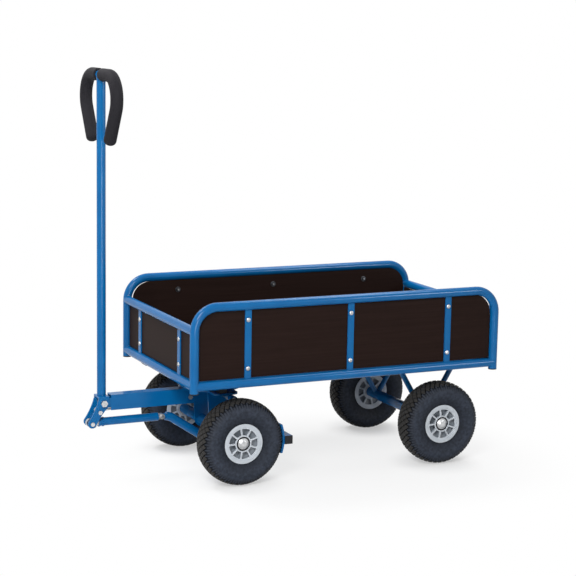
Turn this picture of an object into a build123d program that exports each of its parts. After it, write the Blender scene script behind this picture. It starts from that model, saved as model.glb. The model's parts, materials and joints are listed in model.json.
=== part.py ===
"""Four-wheeled hand cart: tubular bed with plywood sides, turntable steering and a drawbar brake.

Millimetres, +Z up, the drawbar end towards -X. Sizes along X are worked out from the middle of
the bed, or from the kingpin for everything that steers, and moved once so that the origin lies
under the middle of the whole cart, on the ground.
"""
import math
import os

from build123d import *

# Clearances
RUNNING_FIT = 0.08  # radial, shaft in a bearing or pivot
FIXED_FIT = 0.05  # radial, pin or tube held in a hole
GAP = 0.3  # between faces that pass each other or stand side by side

# Bed frame of bent and straight round tube
FRAME_TUBE_D = 26.9
FRAME_TUBE_WALL = 2.3
BED_LENGTH = 1010.0  # between the corner posts' axes
BED_WIDTH = 577.0
TOP_RAIL_Z = 550.0
END_RAIL_Z = 481.5
BOTTOM_RAIL_Z = 319.0
POST_FOOT_Z = 300.0
SIDE_BEND_R = 70.0
PLUG_RIM = 3.0
PLUG_DEPTH = 12.0

# Flat bars, plywood panels and their bolts
BAR_WIDTH = 20.0
BAR_THICK = 4.0
SIDE_BAR_PITCH = 336.7
END_BAR_Y = 168.0
PANEL_THICK = 9.0
PANEL_CORNER_R = 56.0
PANEL_BEVEL = 2.4  # the inner face is larger all round and rises behind the top rail
FLOOR_THICK = 12.0
BOLT_INSET = 43.0  # from a rail's axis to the bolt
PANEL_BOLT_D = 6.0
BOLT_HEAD_D = 14.0
BOLT_HEAD_H = 3.6
PANEL_WASHER_D = 18.0
PANEL_WASHER_T = 1.6
PANEL_NUT_D = 11.0
PANEL_NUT_H = 5.0

# Underframe
LONGITUDINAL_Y = 168.0
LONGITUDINAL_WIDTH = 30.0
LONGITUDINAL_HEIGHT = 40.0
LONGITUDINAL_WALL = 2.5
CROSS_MEMBER_PITCH = 150.0
CROSS_MEMBER_WIDTH = 30.0
FLOOR_UNDER_Z = 332.0
AXLE_X = 339.0  # from the middle of the bed to either axle
STRUT_Y = 162.0
STRUT_D = 17.0
STRUT_SPREAD = 97.0

# Ball turntable
KINGPIN_D = 20.0
KINGPIN_HEAD_D = 30.0
KINGPIN_HEAD_H = 11.0
TURNTABLE_PLATE_THICK = 5.0
TURNTABLE_PLATE_LENGTH = 200.0
RACE_OUTER_R = 92.0
RACE_INNER_R = 61.0
RACE_LIP = 4.0
RACE_LIP_LAP = 4.0  # how far each lip reaches past the balls' centres
BALL_D = 14.0
BALL_COUNT = 12
BOGIE_PLATE_TOP_Z = 255.0
BOGIE_PLATE_THICK = 5.0
BOGIE_SEAT_LEDGE = 5.0  # past the race
BOGIE_WING_LENGTH = 80.0
BOGIE_WING_SPAN = 290.0
PLATE_CORNER_R = 20.0
PAD_LENGTH = 24.0
PAD_WIDTH = 28.0
PAD_X = -10.0
PAD_Y = 122.0

# Axles and bolster
TYRE_R = 130.0  # so the axles stand at this height
TRACK_HALF = 240.0
AXLE_TUBE_D = 33.7
AXLE_TUBE_WALL = 3.0
AXLE_SHAFT_D = 20.0
AXLE_COLLAR = 12.0
CHEEK_Y = 60.0
CHEEK_THICK = 5.0
CHEEK_FRONT = 30.0
CHEEK_REAR = 34.0
CHEEK_FOOT_R = 23.0
AXLE_WASHER_D = 34.0
AXLE_WASHER_T = 4.0
CAP_D = 34.0
CAP_RIM = 2.5
CAP_DOME = 5.0
CAP_SKIN = 1.5

# Wheels
TYRE_HALF_WIDTH = 42.5
TYRE_CROWN_HALF = 30.0
TYRE_CROWN_DROP = 4.0
TYRE_SHOULDER_OUT = 9.4  # mid-shoulder, beyond the crown's edge
TYRE_SIDE_OUT = 2.3  # middle of shoulder and sidewall, beyond a straight line
TYRE_WALL = 6.0
TYRE_TREAD = 10.0
BEAD_SEAT_R = 56.0
BEAD_HALF_WIDTH = 30.0
BEAD_WIDTH = 9.0
RIM_WALL = 4.5
RIM_FLANGE = 4.5
RIM_FLANGE_THICK = 3.5
HUB_R = 20.0
HUB_HALF = 28.0
BEARING_WALL = 4.0
DISC_THICK = 4.0
DISC_HUB_Y = 31.0  # front of the disc, flush with the flange but for a slight dish
DISC_RIM_Y = 32.0
CAP_WELL_R = 22.0
CAP_WELL_WALL = 3.0
WEB_THICK = 4.0
WEB_HUB_Y = 14.0  # front of the web behind the windows
WEB_RIM_Y = 22.0
WINDOW_INNER_R = 25.8
WINDOW_OUTER_R = 46.0
WINDOW_CORNER_R = 2.0
WINDOW_COUNT = 9
SPOKE_WIDTH = 4.6
RIB_THICK = 3.5

# Drawbar arm, hinge and gas spring, from the kingpin
HINGE_X = -350.0
HINGE_Z = 227.0
ARM_WIDTH = 36.0
ARM_WALL = 3.0
ARM_BOTTOM_Z = 203.0
ARM_FRONT_X = -325.0
ARM_REAR_X = -24.0
ARM_LUG_R = 14.5
HINGE_BOLT_D = 12.0
HINGE_BUSH_R = 10.0
SMALL_BOLT_D = 8.0
SPRING_REAR_X = -70.0
SPRING_REAR_Z = 222.0
SPRING_BODY_D = 15.0
SPRING_BODY_LENGTH = 170.0
SPRING_ROD_D = 6.0
SPRING_ROD_INSIDE = 30.0
SPRING_TRAVEL = 29.6
SPRING_EYE_R = 10.0
SPRING_EYE_HALF = 5.0
SPRING_SLOT_BACK = 4.0  # the front bolt's drift across the rod while the drawbar tilts
SPRING_SLOT_AHEAD = 1.3

# Drawbar with its fork and handle, from the kingpin
DRAWBAR_TUBE_D = 26.9
DRAWBAR_TUBE_WALL = 2.3
FORK_PLATE_THICK = 5.0
FORK_HINGE_R = 19.0
FORK_TIP_R = 13.0
FORK_WAIST = 3.0  # how far its edges draw in between hinge and tip
FORK_TIP_X = -386.0
BRAKE_ROD_Z = 166.0
FORK_SECOND_X = -362.0
FORK_SECOND_Z = 200.0
BRIDGE_Z = 243.0
BRIDGE_THICK = 5.0
BRIDGE_HALF = 16.0
HANDLE_TOP_Z = 1205.0
HANDLE_DROP = 180.5  # from the bow's top down to its ends
HANDLE_END_Y = 84.3
HANDLE_CORNER_Y = 190.0
HANDLE_BEND_R = 66.5
HANDLE_TUBE_D = 25.0
HANDLE_TUBE_WALL = 2.0
GRIP_D = 37.5
GRIP_START_Y = 15.0

# Brake, from the kingpin
BRAKE_PIVOT_X = 15.0
BRAKE_PIVOT_Z = 238.0
BRAKE_PIN_D = 16.0
BRAKE_PIN_INNER_Y = 48.0
BRAKE_PIN_OUTER_Y = 164.0
HANGER_Y = 150.0
HANGER_THICK = 8.0
HANGER_HEIGHT = 20.0
HANGER_BOSS_R = 11.5
HANGER_BOSS_HALF = 12.0
BAR_SIZE = 25.0
BAR_WALL = 2.5
BAR_OVERHANG = 2.0  # past the shoes
BAR_Z = 128.0
BAR_CAP_THICK = 3.0
BAR_CAP_DEPTH = 10.0
SHOE_GAP = 0.8
SHOE_THICK = 6.0
SHOE_SEAT = 0.8  # depth of the flat on the shoe's back where the bar is welded
SHOE_WIDTH = 52.0
SHOE_LOW_Z = 88.0
SHOE_HIGH_Z = 176.0
YOKE_TUBE_D = 26.9
YOKE_TUBE_WALL = 2.3
YOKE_FRONT_X = -144.0
YOKE_FRONT_Z = 166.0
YOKE_BEND_X = -126.0
YOKE_BEND_Z = 161.0
YOKE_LOW_X = -8.0
YOKE_DROP = 48.0  # from the axle down to the corner of its lowest bend
YOKE_RISE_X = 95.0
YOKE_BEND_R = 40.0
TONGUE_THICK = 7.0
TONGUE_R = 7.5
ROD_PIN_X = -157.0
ROD_D = 25.0
ROD_WALL = 2.0
ROD_FRONT_X = -361.0
ROD_REAR_X = -170.0
ROD_RING_D = 29.0
ROD_RING_LENGTH = 5.0
ROD_RING_PITCH = 12.0
ROD_EYE_HALF = 6.0
ROD_EYE_R = 11.0
ROD_NECK_D = 11.0
ROD_HEAD_R = 8.0
ROD_HEAD_HALF = 8.0
ROD_HEAD_DEPTH = 9.5  # from the pin to the end of the slot
ROD_SLOT_X = 9.0  # drift of the fork's tip bolt in the rod's front eye while the drawbar tilts
ROD_SLOT_Z = -5.0
ROD_SLOT_ROOM = 1.8

# Bolt heads and nuts of the linkage
HEX_OVER_SHANK = 1.75  # across corners, times the shank
HEX_HEIGHT = 0.65  # times the shank
SPACER_WALL = 2.2

# Sizes that follow from the ones above
FRAME_R = FRAME_TUBE_D / 2
HALF_LENGTH = BED_LENGTH / 2
HALF_WIDTH = BED_WIDTH / 2
AXLE_Z = TYRE_R
PANEL_OUTER = BAR_THICK / 2
PANEL_INNER = PANEL_OUTER + PANEL_THICK
UNDERFRAME_Z = FLOOR_UNDER_Z - LONGITUDINAL_HEIGHT
TURNTABLE_TOP_Z = UNDERFRAME_Z - TURNTABLE_PLATE_THICK
BALL_Z = (TURNTABLE_TOP_Z + BOGIE_PLATE_TOP_Z) / 2
BALL_PATH_R = (RACE_OUTER_R + RACE_INNER_R) / 2
BOGIE_UNDER_Z = BOGIE_PLATE_TOP_Z - BOGIE_PLATE_THICK
HUB_INNER_Y = TRACK_HALF - HUB_HALF
HUB_OUTER_Y = TRACK_HALF + HUB_HALF
AXLE_TUBE_END = HUB_INNER_Y - GAP - AXLE_WASHER_T
CAP_Y = HUB_OUTER_Y + GAP
SHAFT_END = CAP_Y + CAP_RIM + CAP_DOME - CAP_SKIN
FORK_INNER = ARM_WIDTH / 2 + GAP
FORK_OUTER = FORK_INNER + FORK_PLATE_THICK
DRAWBAR_FOOT_Z = BRIDGE_Z + BRIDGE_THICK
HANDLE_END_Z = HANDLE_TOP_Z - HANDLE_DROP
SHOE_R = TYRE_R + SHOE_GAP
SHOE_INNER_Y = TRACK_HALF - SHOE_WIDTH / 2
SHOE_OUTER_Y = TRACK_HALF + SHOE_WIDTH / 2
BAR_HALF_LENGTH = SHOE_OUTER_Y + BAR_OVERHANG
BAR_FRONT_X = SHOE_R + SHOE_THICK - SHOE_SEAT
BAR_X = BAR_FRONT_X + BAR_SIZE / 2
CART_FRONT = AXLE_X - FORK_TIP_X + FORK_TIP_R
CART_REAR = HALF_LENGTH + FRAME_R
BED_X = (CART_FRONT - CART_REAR) / 2
KINGPIN_X = BED_X - AXLE_X


# Shared shapes
def rod(start, end, diameter):
    """Round bar between two points."""
    axis = Vector(end) - Vector(start)
    return extrude(Plane(origin=start, z_dir=axis) * Circle(diameter / 2), axis.length)


def tube(start, end, diameter, wall):
    """Straight round tube between two points."""
    return rod(start, end, diameter) - rod(start, end, diameter - 2 * wall)


def swept(path, section):
    """A section carried along a path from its start."""
    return sweep(Plane(origin=path @ 0, z_dir=path % 0) * section, path)


def block(x, y, z):
    """Box between two limits along each axis."""
    size = [high - low for low, high in (x, y, z)]
    middle = [(low + high) / 2 for low, high in (x, y, z)]
    return Pos(*middle) * Box(*size)


def plate_y(sketch, low, high):
    """A side-view outline, drawn as x and z, thickened between two y limits."""
    return Pos(0, (low + high) / 2, 0) * extrude(Plane.XZ * sketch, (high - low) / 2, both=True)


def turned_z(points):
    """Solid of revolution about Z from corners given as radius and height."""
    return revolve(Plane.XZ * make_face(Polyline(*points, close=True)), Axis.Z)


def turned_y(points):
    """Solid of revolution about Y from corners given as radius and y."""
    return revolve(make_face(Polyline(*points, close=True)), Axis.Y)


def hull(*discs):
    """Outline drawn tight round discs given as x, z and radius."""
    outline = Sketch()
    for x, z, radius in discs:
        outline += Pos(x, z) * Circle(radius)
    return make_hull(outline.edges())


def both_sides(shape):
    """A piece and its mirror image on the other side of the cart."""
    return [shape, mirror(shape, Plane.XZ)]


def group(*shapes):
    """Separate solids kept in one node."""
    return Compound([solid for shape in shapes for solid in shape.solids()])


def hex_bolt(x, z, diameter, reach):
    """Bolt across the cart with its head on the near side and its nut on the far side."""
    corners = RegularPolygon(diameter * HEX_OVER_SHANK / 2, 6)
    height = diameter * HEX_HEIGHT
    bolt = rod((x, -reach, z), (x, reach + height, z), diameter)
    for low in (-reach - height, reach):
        bolt += plate_y(Pos(x, z) * corners, low, low + height)
    return bolt


def spacer(x, z, low, high):
    """Short tube on a small bolt, between two y limits."""
    hole_r = SMALL_BOLT_D / 2 + FIXED_FIT
    return plate_y(Pos(x, z) * (Circle(hole_r + SPACER_WALL) - Circle(hole_r)), low, high)


# Bed frame
POSTS = [(x, y) for x in (-HALF_LENGTH, HALF_LENGTH) for y in (-HALF_WIDTH, HALF_WIDTH)]


def side_rail_bar(y, z, diameter=FRAME_TUBE_D):
    return rod((-HALF_LENGTH, y, z), (HALF_LENGTH, y, z), diameter)


def end_rail_bar(x, z):
    return rod((x, -HALF_WIDTH, z), (x, HALF_WIDTH, z), FRAME_TUBE_D)


def side_frame_bar(y, radius):
    """Round bar along one side: up a corner post, over the top rail and down the other post."""
    path = FilletPolyline(
        (-HALF_LENGTH, y, POST_FOOT_Z),
        (-HALF_LENGTH, y, TOP_RAIL_Z),
        (HALF_LENGTH, y, TOP_RAIL_Z),
        (HALF_LENGTH, y, POST_FOOT_Z),
        radius=SIDE_BEND_R,
    )
    return swept(path, Circle(radius))


def side_frame(y):
    """Top rail and both corner posts, bent from one tube."""
    return side_frame_bar(y, FRAME_R) - side_frame_bar(y, FRAME_R - FRAME_TUBE_WALL)


def side_bottom_rails():
    rails = []
    for y in (-HALF_WIDTH, HALF_WIDTH):
        ends = (-HALF_LENGTH, y, BOTTOM_RAIL_Z), (HALF_LENGTH, y, BOTTOM_RAIL_Z)
        rails.append(tube(*ends, FRAME_TUBE_D, FRAME_TUBE_WALL) - side_frame_bar(y, FRAME_R))
    return group(*rails)


def end_rails():
    """Upper and lower rail at each end, their ends shaped to the posts and side rails."""
    sides = []
    for y in (-HALF_WIDTH, HALF_WIDTH):
        sides.append(side_rail_bar(y, BOTTOM_RAIL_Z, FRAME_TUBE_D + 2 * FIXED_FIT))
        sides.append(side_frame_bar(y, FRAME_R + FIXED_FIT))
    rails = []
    for x in (-HALF_LENGTH, HALF_LENGTH):
        for z in (BOTTOM_RAIL_Z, END_RAIL_Z):
            ends = (x, -HALF_WIDTH, z), (x, HALF_WIDTH, z)
            rails.append(tube(*ends, FRAME_TUBE_D, FRAME_TUBE_WALL) - sides)
    return group(*rails)


def post_plugs():
    bore_d = FRAME_TUBE_D - 2 * FRAME_TUBE_WALL
    plugs = []
    for x, y in POSTS:
        rim = rod((x, y, POST_FOOT_Z - PLUG_RIM), (x, y, POST_FOOT_Z), FRAME_TUBE_D)
        stem = rod((x, y, POST_FOOT_Z), (x, y, POST_FOOT_Z + PLUG_DEPTH), bore_d - 2 * FIXED_FIT)
        plugs.append(rim + stem)
    return group(*plugs)


# Bars, panels and bolts. Each bolt place is a point on the frame's middle plane and the
# direction that points into the bed.
SIDE_BARS = [(x, y) for x in (-SIDE_BAR_PITCH, 0, SIDE_BAR_PITCH) for y in (-HALF_WIDTH, HALF_WIDTH)]
END_BARS = [(x, y) for x in (-HALF_LENGTH, HALF_LENGTH) for y in (-END_BAR_Y, END_BAR_Y)]
LOW_BOLT_Z = BOTTOM_RAIL_Z + BOLT_INSET


def inward(value):
    return -math.copysign(1, value)


BOLT_PLACES = [
    (Vector(x, y, z), Vector(0, inward(y), 0))
    for x, y in SIDE_BARS
    for z in (LOW_BOLT_Z, TOP_RAIL_Z - BOLT_INSET)
] + [
    (Vector(x, y, z), Vector(inward(x), 0, 0))
    for x, y in END_BARS
    for z in (LOW_BOLT_Z, END_RAIL_Z - BOLT_INSET)
]


def along(place, start, end, diameter):
    """Round bar on a bolt's axis, between two distances into the bed."""
    point, into = place
    return rod(point + into * start, point + into * end, diameter)


BOLT_HOLES = [
    along(place, -2 * PANEL_OUTER, 2 * PANEL_INNER, PANEL_BOLT_D + 2 * FIXED_FIT) for place in BOLT_PLACES
]


def panel_bars():
    """Upright flat bars welded between the rails, in the plane of the tubes."""
    bars = []
    for x, y in SIDE_BARS:
        reach = block(
            (x - BAR_WIDTH / 2, x + BAR_WIDTH / 2),
            (y - BAR_THICK / 2, y + BAR_THICK / 2),
            (BOTTOM_RAIL_Z, TOP_RAIL_Z),
        )
        bars.append(reach - side_rail_bar(y, BOTTOM_RAIL_Z) - side_rail_bar(y, TOP_RAIL_Z) - BOLT_HOLES)
    for x, y in END_BARS:
        reach = block(
            (x - BAR_THICK / 2, x + BAR_THICK / 2),
            (y - BAR_WIDTH / 2, y + BAR_WIDTH / 2),
            (BOTTOM_RAIL_Z, END_RAIL_Z),
        )
        bars.append(reach - end_rail_bar(x, BOTTOM_RAIL_Z) - end_rail_bar(x, END_RAIL_Z) - BOLT_HOLES)
    return group(*bars)


def panel_outline(half_width, top_rail_z):
    """A panel's outer face between two rails, inside the reach of its inner face."""
    low = BOTTOM_RAIL_Z + FRAME_R + GAP + PANEL_BEVEL
    high = top_rail_z - FRAME_R - GAP
    return Pos(0, (low + high) / 2) * Rectangle(2 * (half_width - PANEL_BEVEL), high - low)


def bevelled_sheet(outline):
    """Plywood from its outer face upwards, with edges that spread towards the inner face."""
    return extrude(outline, PANEL_THICK, taper=-math.degrees(math.atan(PANEL_BEVEL / PANEL_THICK)))


def side_panels():
    """Plywood sides with rounded top corners, bolted against the inside of the bars."""
    outline = panel_outline(HALF_LENGTH - FRAME_R - GAP, TOP_RAIL_Z)
    outline = fillet(outline.vertices().group_by(Axis.Y)[-1], PANEL_CORNER_R)
    outer_face = Plane(origin=(0, HALF_WIDTH - PANEL_OUTER, 0), x_dir=(1, 0, 0), z_dir=(0, -1, 0))
    far = outer_face * bevelled_sheet(outline)
    return group(*[panel - BOLT_HOLES for panel in both_sides(far)])


def end_panels():
    outline = panel_outline(HALF_WIDTH - FRAME_R - GAP, END_RAIL_Z)
    outer_face = Plane(origin=(-HALF_LENGTH + PANEL_OUTER, 0, 0), x_dir=(0, 1, 0), z_dir=(1, 0, 0))
    front = outer_face * bevelled_sheet(outline)
    return group(*[panel - BOLT_HOLES for panel in (front, mirror(front, Plane.YZ))])


def floor_panel():
    half_x = HALF_LENGTH - PANEL_INNER - GAP
    half_y = HALF_WIDTH - PANEL_INNER - GAP
    return block((-half_x, half_x), (-half_y, half_y), (FLOOR_UNDER_Z, FLOOR_UNDER_Z + FLOOR_THICK))


def panel_bolts():
    """Low round heads outside the bars, shanks through bar and panel."""
    reach = PANEL_INNER + PANEL_WASHER_T + PANEL_NUT_H
    bolts = []
    for place in BOLT_PLACES:
        head = along(place, -PANEL_OUTER - BOLT_HEAD_H, -PANEL_OUTER, BOLT_HEAD_D)
        outer_edge = head.edges().sort_by_distance(place[0])[-1]
        head = chamfer(outer_edge, BOLT_HEAD_H / 2)
        bolts.append(head + along(place, -PANEL_OUTER, reach, PANEL_BOLT_D))
    return group(*bolts)


def panel_nuts():
    nuts = []
    for place in BOLT_PLACES:
        seat = PANEL_INNER + PANEL_WASHER_T
        nut = along(place, PANEL_INNER, seat, PANEL_WASHER_D)
        nut += along(place, seat, seat + PANEL_NUT_H, PANEL_NUT_D)
        hole = along(place, PANEL_INNER, seat + PANEL_NUT_H, PANEL_BOLT_D + 2 * FIXED_FIT)
        nuts.append(nut - hole)
    return group(*nuts)


# Underframe
def longitudinals():
    """Box-section bearers, shaped round the end rails and cut at a slant below them."""
    half = LONGITUDINAL_WIDTH / 2
    low = LONGITUDINAL_Y - half
    high = LONGITUDINAL_Y + half
    wall = LONGITUDINAL_WALL
    span = (-HALF_LENGTH, HALF_LENGTH)
    bearer = block(span, (low, high), (UNDERFRAME_Z, FLOOR_UNDER_Z))
    bearer -= block(span, (low + wall, high - wall), (UNDERFRAME_Z + wall, FLOOR_UNDER_Z - wall))
    drop = BOTTOM_RAIL_Z - FRAME_R - UNDERFRAME_Z
    for side in (-1, 1):
        end = side * HALF_LENGTH
        slant = Polyline(
            (end, UNDERFRAME_Z + drop),
            (end, UNDERFRAME_Z),
            (end - side * drop, UNDERFRAME_Z),
            close=True,
        )
        bearer -= plate_y(make_face(slant), low, high)
        bearer -= end_rail_bar(end, BOTTOM_RAIL_Z)
    return group(*both_sides(bearer))


def cross_members():
    reach = LONGITUDINAL_Y - LONGITUDINAL_WIDTH / 2
    wall = LONGITUDINAL_WALL
    members = []
    for x in (-AXLE_X - CROSS_MEMBER_PITCH / 2, -AXLE_X + CROSS_MEMBER_PITCH / 2):
        low = x - CROSS_MEMBER_WIDTH / 2
        high = x + CROSS_MEMBER_WIDTH / 2
        member = block((low, high), (-reach, reach), (UNDERFRAME_Z, FLOOR_UNDER_Z))
        inside = block(
            (low + wall, high - wall), (-reach, reach), (UNDERFRAME_Z + wall, FLOOR_UNDER_Z - wall)
        )
        members.append(member - inside)
    return group(*members)


def axle_tube(x):
    return tube((x, -AXLE_TUBE_END, AXLE_Z), (x, AXLE_TUBE_END, AXLE_Z), AXLE_TUBE_D, AXLE_TUBE_WALL)


def axle_shaft(x):
    """Solid axle with two collars that fill the ends of its tube."""
    shaft = rod((x, -SHAFT_END, AXLE_Z), (x, SHAFT_END, AXLE_Z), AXLE_SHAFT_D)
    collar_d = AXLE_TUBE_D - 2 * AXLE_TUBE_WALL - 2 * FIXED_FIT
    collar = rod((x, AXLE_TUBE_END - AXLE_COLLAR, AXLE_Z), (x, AXLE_TUBE_END, AXLE_Z), collar_d)
    for piece in both_sides(collar):
        shaft += piece
    return shaft


def axle_fittings(x):
    """Inner thrust washers, and push caps that close the ends of the shaft."""
    hole = AXLE_SHAFT_D / 2 + FIXED_FIT
    washer = turned_y([
        (hole, AXLE_TUBE_END),
        (AXLE_WASHER_D / 2, AXLE_TUBE_END),
        (AXLE_WASHER_D / 2, AXLE_TUBE_END + AXLE_WASHER_T),
        (hole, AXLE_TUBE_END + AXLE_WASHER_T),
    ])
    crown = CAP_Y + CAP_RIM + CAP_DOME
    cap = turned_y([
        (hole, CAP_Y),
        (CAP_D / 2, CAP_Y),
        (CAP_D / 2, CAP_Y + CAP_RIM),
        (hole + CAP_SKIN, crown - CAP_SKIN),
        (hole - CAP_SKIN, crown),
        (0, crown),
        (0, SHAFT_END),
        (hole, SHAFT_END),
    ])
    return Pos(x, 0, AXLE_Z) * group(*both_sides(washer), *both_sides(cap))


def rear_struts():
    """Round bars bent to a V from the rear axle up to the bearers."""
    strut = Part()
    for side in (-1, 1):
        foot = Vector(AXLE_X, STRUT_Y, AXLE_Z)
        head = Vector(AXLE_X + side * STRUT_SPREAD, STRUT_Y, UNDERFRAME_Z)
        strut += rod(foot, head + (head - foot).normalized() * STRUT_D, STRUT_D)
    reach = (AXLE_X - 2 * STRUT_SPREAD, AXLE_X + 2 * STRUT_SPREAD)
    sides = (STRUT_Y - STRUT_D, STRUT_Y + STRUT_D)
    strut -= block(reach, sides, (UNDERFRAME_Z, FLOOR_UNDER_Z))
    strut -= block(reach, sides, (0, AXLE_Z))
    strut -= rod((AXLE_X, -AXLE_TUBE_END, AXLE_Z), (AXLE_X, AXLE_TUBE_END, AXLE_Z), AXLE_TUBE_D)
    return group(*both_sides(strut))


# Turntable
def turntable_plate():
    half_y = LONGITUDINAL_Y + LONGITUDINAL_WIDTH / 2
    outline = RectangleRounded(TURNTABLE_PLATE_LENGTH, 2 * half_y, PLATE_CORNER_R)
    outline -= Circle(KINGPIN_D / 2 + RUNNING_FIT)
    return Pos(-AXLE_X, 0, TURNTABLE_TOP_Z) * extrude(outline, TURNTABLE_PLATE_THICK)


def turntable_upper_race():
    """Ring on the cart with a lip that hangs outside the balls."""
    race_z = BALL_Z + BALL_D / 2 + RUNNING_FIT
    lip_r = RACE_OUTER_R - RACE_LIP
    return Pos(-AXLE_X, 0, 0) * turned_z([
        (RACE_INNER_R, TURNTABLE_TOP_Z),
        (RACE_OUTER_R, TURNTABLE_TOP_Z),
        (RACE_OUTER_R, BALL_Z - RACE_LIP_LAP),
        (lip_r, BALL_Z - RACE_LIP_LAP),
        (lip_r, race_z),
        (RACE_INNER_R, race_z),
    ])


def turntable_lower_race():
    """Ring on the bogie with a lip that stands inside the balls."""
    race_z = BALL_Z - BALL_D / 2 - RUNNING_FIT
    lip_r = RACE_INNER_R + RACE_LIP
    outer_r = RACE_OUTER_R - RACE_LIP - GAP
    return turned_z([
        (RACE_INNER_R, BOGIE_PLATE_TOP_Z),
        (outer_r, BOGIE_PLATE_TOP_Z),
        (outer_r, race_z),
        (lip_r, race_z),
        (lip_r, BALL_Z + RACE_LIP_LAP),
        (RACE_INNER_R, BALL_Z + RACE_LIP_LAP),
    ])


def turntable_balls():
    turns = [Rot(0, 0, 360 * i / BALL_COUNT) for i in range(BALL_COUNT)]
    return group(*[turn * Pos(BALL_PATH_R, 0, BALL_Z) * Sphere(BALL_D / 2) for turn in turns])


def bogie_plate():
    """Round seat for the lower race with a wing to each side."""
    outline = RectangleRounded(BOGIE_WING_LENGTH, BOGIE_WING_SPAN, PLATE_CORNER_R)
    outline += Circle(RACE_OUTER_R + BOGIE_SEAT_LEDGE)
    outline -= Circle(KINGPIN_D / 2 + FIXED_FIT)
    return Pos(0, 0, BOGIE_UNDER_Z) * extrude(outline, BOGIE_PLATE_THICK)


def bolster_pads():
    """Blocks on the wings that steady the bed from below."""
    pad = block(
        (PAD_X - PAD_LENGTH / 2, PAD_X + PAD_LENGTH / 2),
        (PAD_Y - PAD_WIDTH / 2, PAD_Y + PAD_WIDTH / 2),
        (BOGIE_PLATE_TOP_Z, TURNTABLE_TOP_Z - GAP),
    )
    return group(*both_sides(pad))


def kingpin():
    """Bolt up through both plates, its nut just clear of the upper one."""
    nut_z = UNDERFRAME_Z + GAP
    corners = RegularPolygon(KINGPIN_HEAD_D / 2, 6)
    pin = rod((0, 0, BOGIE_UNDER_Z), (0, 0, nut_z + KINGPIN_HEAD_H), KINGPIN_D)
    for z in (BOGIE_UNDER_Z - KINGPIN_HEAD_H, nut_z):
        pin += Pos(0, 0, z) * extrude(corners, KINGPIN_HEAD_H)
    return pin


def bolster_cheeks():
    """Side plates that carry the axle below the bogie plate, tapered to the axle tube."""
    top = Line((-CHEEK_FRONT, BOGIE_UNDER_Z), (CHEEK_REAR, BOGIE_UNDER_Z))
    foot = Pos(0, AXLE_Z) * Circle(CHEEK_FOOT_R)
    outline = make_hull(top.edges() + foot.edges())
    outline -= Pos(0, AXLE_Z) * Circle(AXLE_TUBE_D / 2 + FIXED_FIT)
    outline -= Pos(BRAKE_PIVOT_X, BRAKE_PIVOT_Z) * Circle(BRAKE_PIN_D / 2 + FIXED_FIT)
    return group(*both_sides(plate_y(outline, CHEEK_Y - CHEEK_THICK / 2, CHEEK_Y + CHEEK_THICK / 2)))


# Wheels, made about Y with the outer side towards +Y
def tyre_half(inset, tread, half_bead):
    """Half of a tyre outline from the crown down to the bead, as y and radius."""
    crown_r = TYRE_R - tread
    crown_y = TYRE_CROWN_HALF - inset
    side_y = TYRE_HALF_WIDTH - inset
    shoulder_r = crown_r - TYRE_CROWN_DROP
    side_r = (TYRE_R + BEAD_SEAT_R) / 2 + TYRE_CROWN_DROP
    crown = TangentArc((0, crown_r), (crown_y, shoulder_r), tangent=(1, 0))
    shoulder = ThreePointArc(
        (crown_y, shoulder_r),
        (crown_y + TYRE_SHOULDER_OUT, (shoulder_r + side_r) / 2 + TYRE_SIDE_OUT),
        (side_y, side_r),
    )
    wall = ThreePointArc(
        (side_y, side_r),
        ((side_y + half_bead) / 2 + TYRE_SIDE_OUT, (side_r + BEAD_SEAT_R) / 2),
        (half_bead, BEAD_SEAT_R),
    )
    return crown, shoulder, wall


def tyre():
    """Hollow pneumatic tyre, open between its beads."""
    outer = tyre_half(0, 0, BEAD_HALF_WIDTH)
    inner = tyre_half(TYRE_WALL, TYRE_TREAD, BEAD_HALF_WIDTH - BEAD_WIDTH)
    foot = Line(outer[-1] @ 1, inner[-1] @ 1)
    middle = Line(outer[0] @ 0, inner[0] @ 0)
    half = make_face([*outer, foot, *inner, middle])
    profile = Plane(origin=(0, 0, 0), x_dir=(0, 1, 0), z_dir=(1, 0, 0)) * half
    half_tyre = revolve(profile, Axis.Y)
    return half_tyre + mirror(half_tyre, Plane.XZ) - rim_barrel()


def rim_barrel():
    """Bead seat between two flanges."""
    barrel_r = BEAD_SEAT_R - RIM_WALL
    flange_r = BEAD_SEAT_R + RIM_FLANGE
    edge = BEAD_HALF_WIDTH + RIM_FLANGE_THICK
    return turned_y([
        (barrel_r, -edge),
        (flange_r, -edge),
        (flange_r, -BEAD_HALF_WIDTH),
        (BEAD_SEAT_R, -BEAD_HALF_WIDTH),
        (BEAD_SEAT_R, BEAD_HALF_WIDTH),
        (flange_r, BEAD_HALF_WIDTH),
        (flange_r, edge),
        (barrel_r, edge),
    ])


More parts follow.
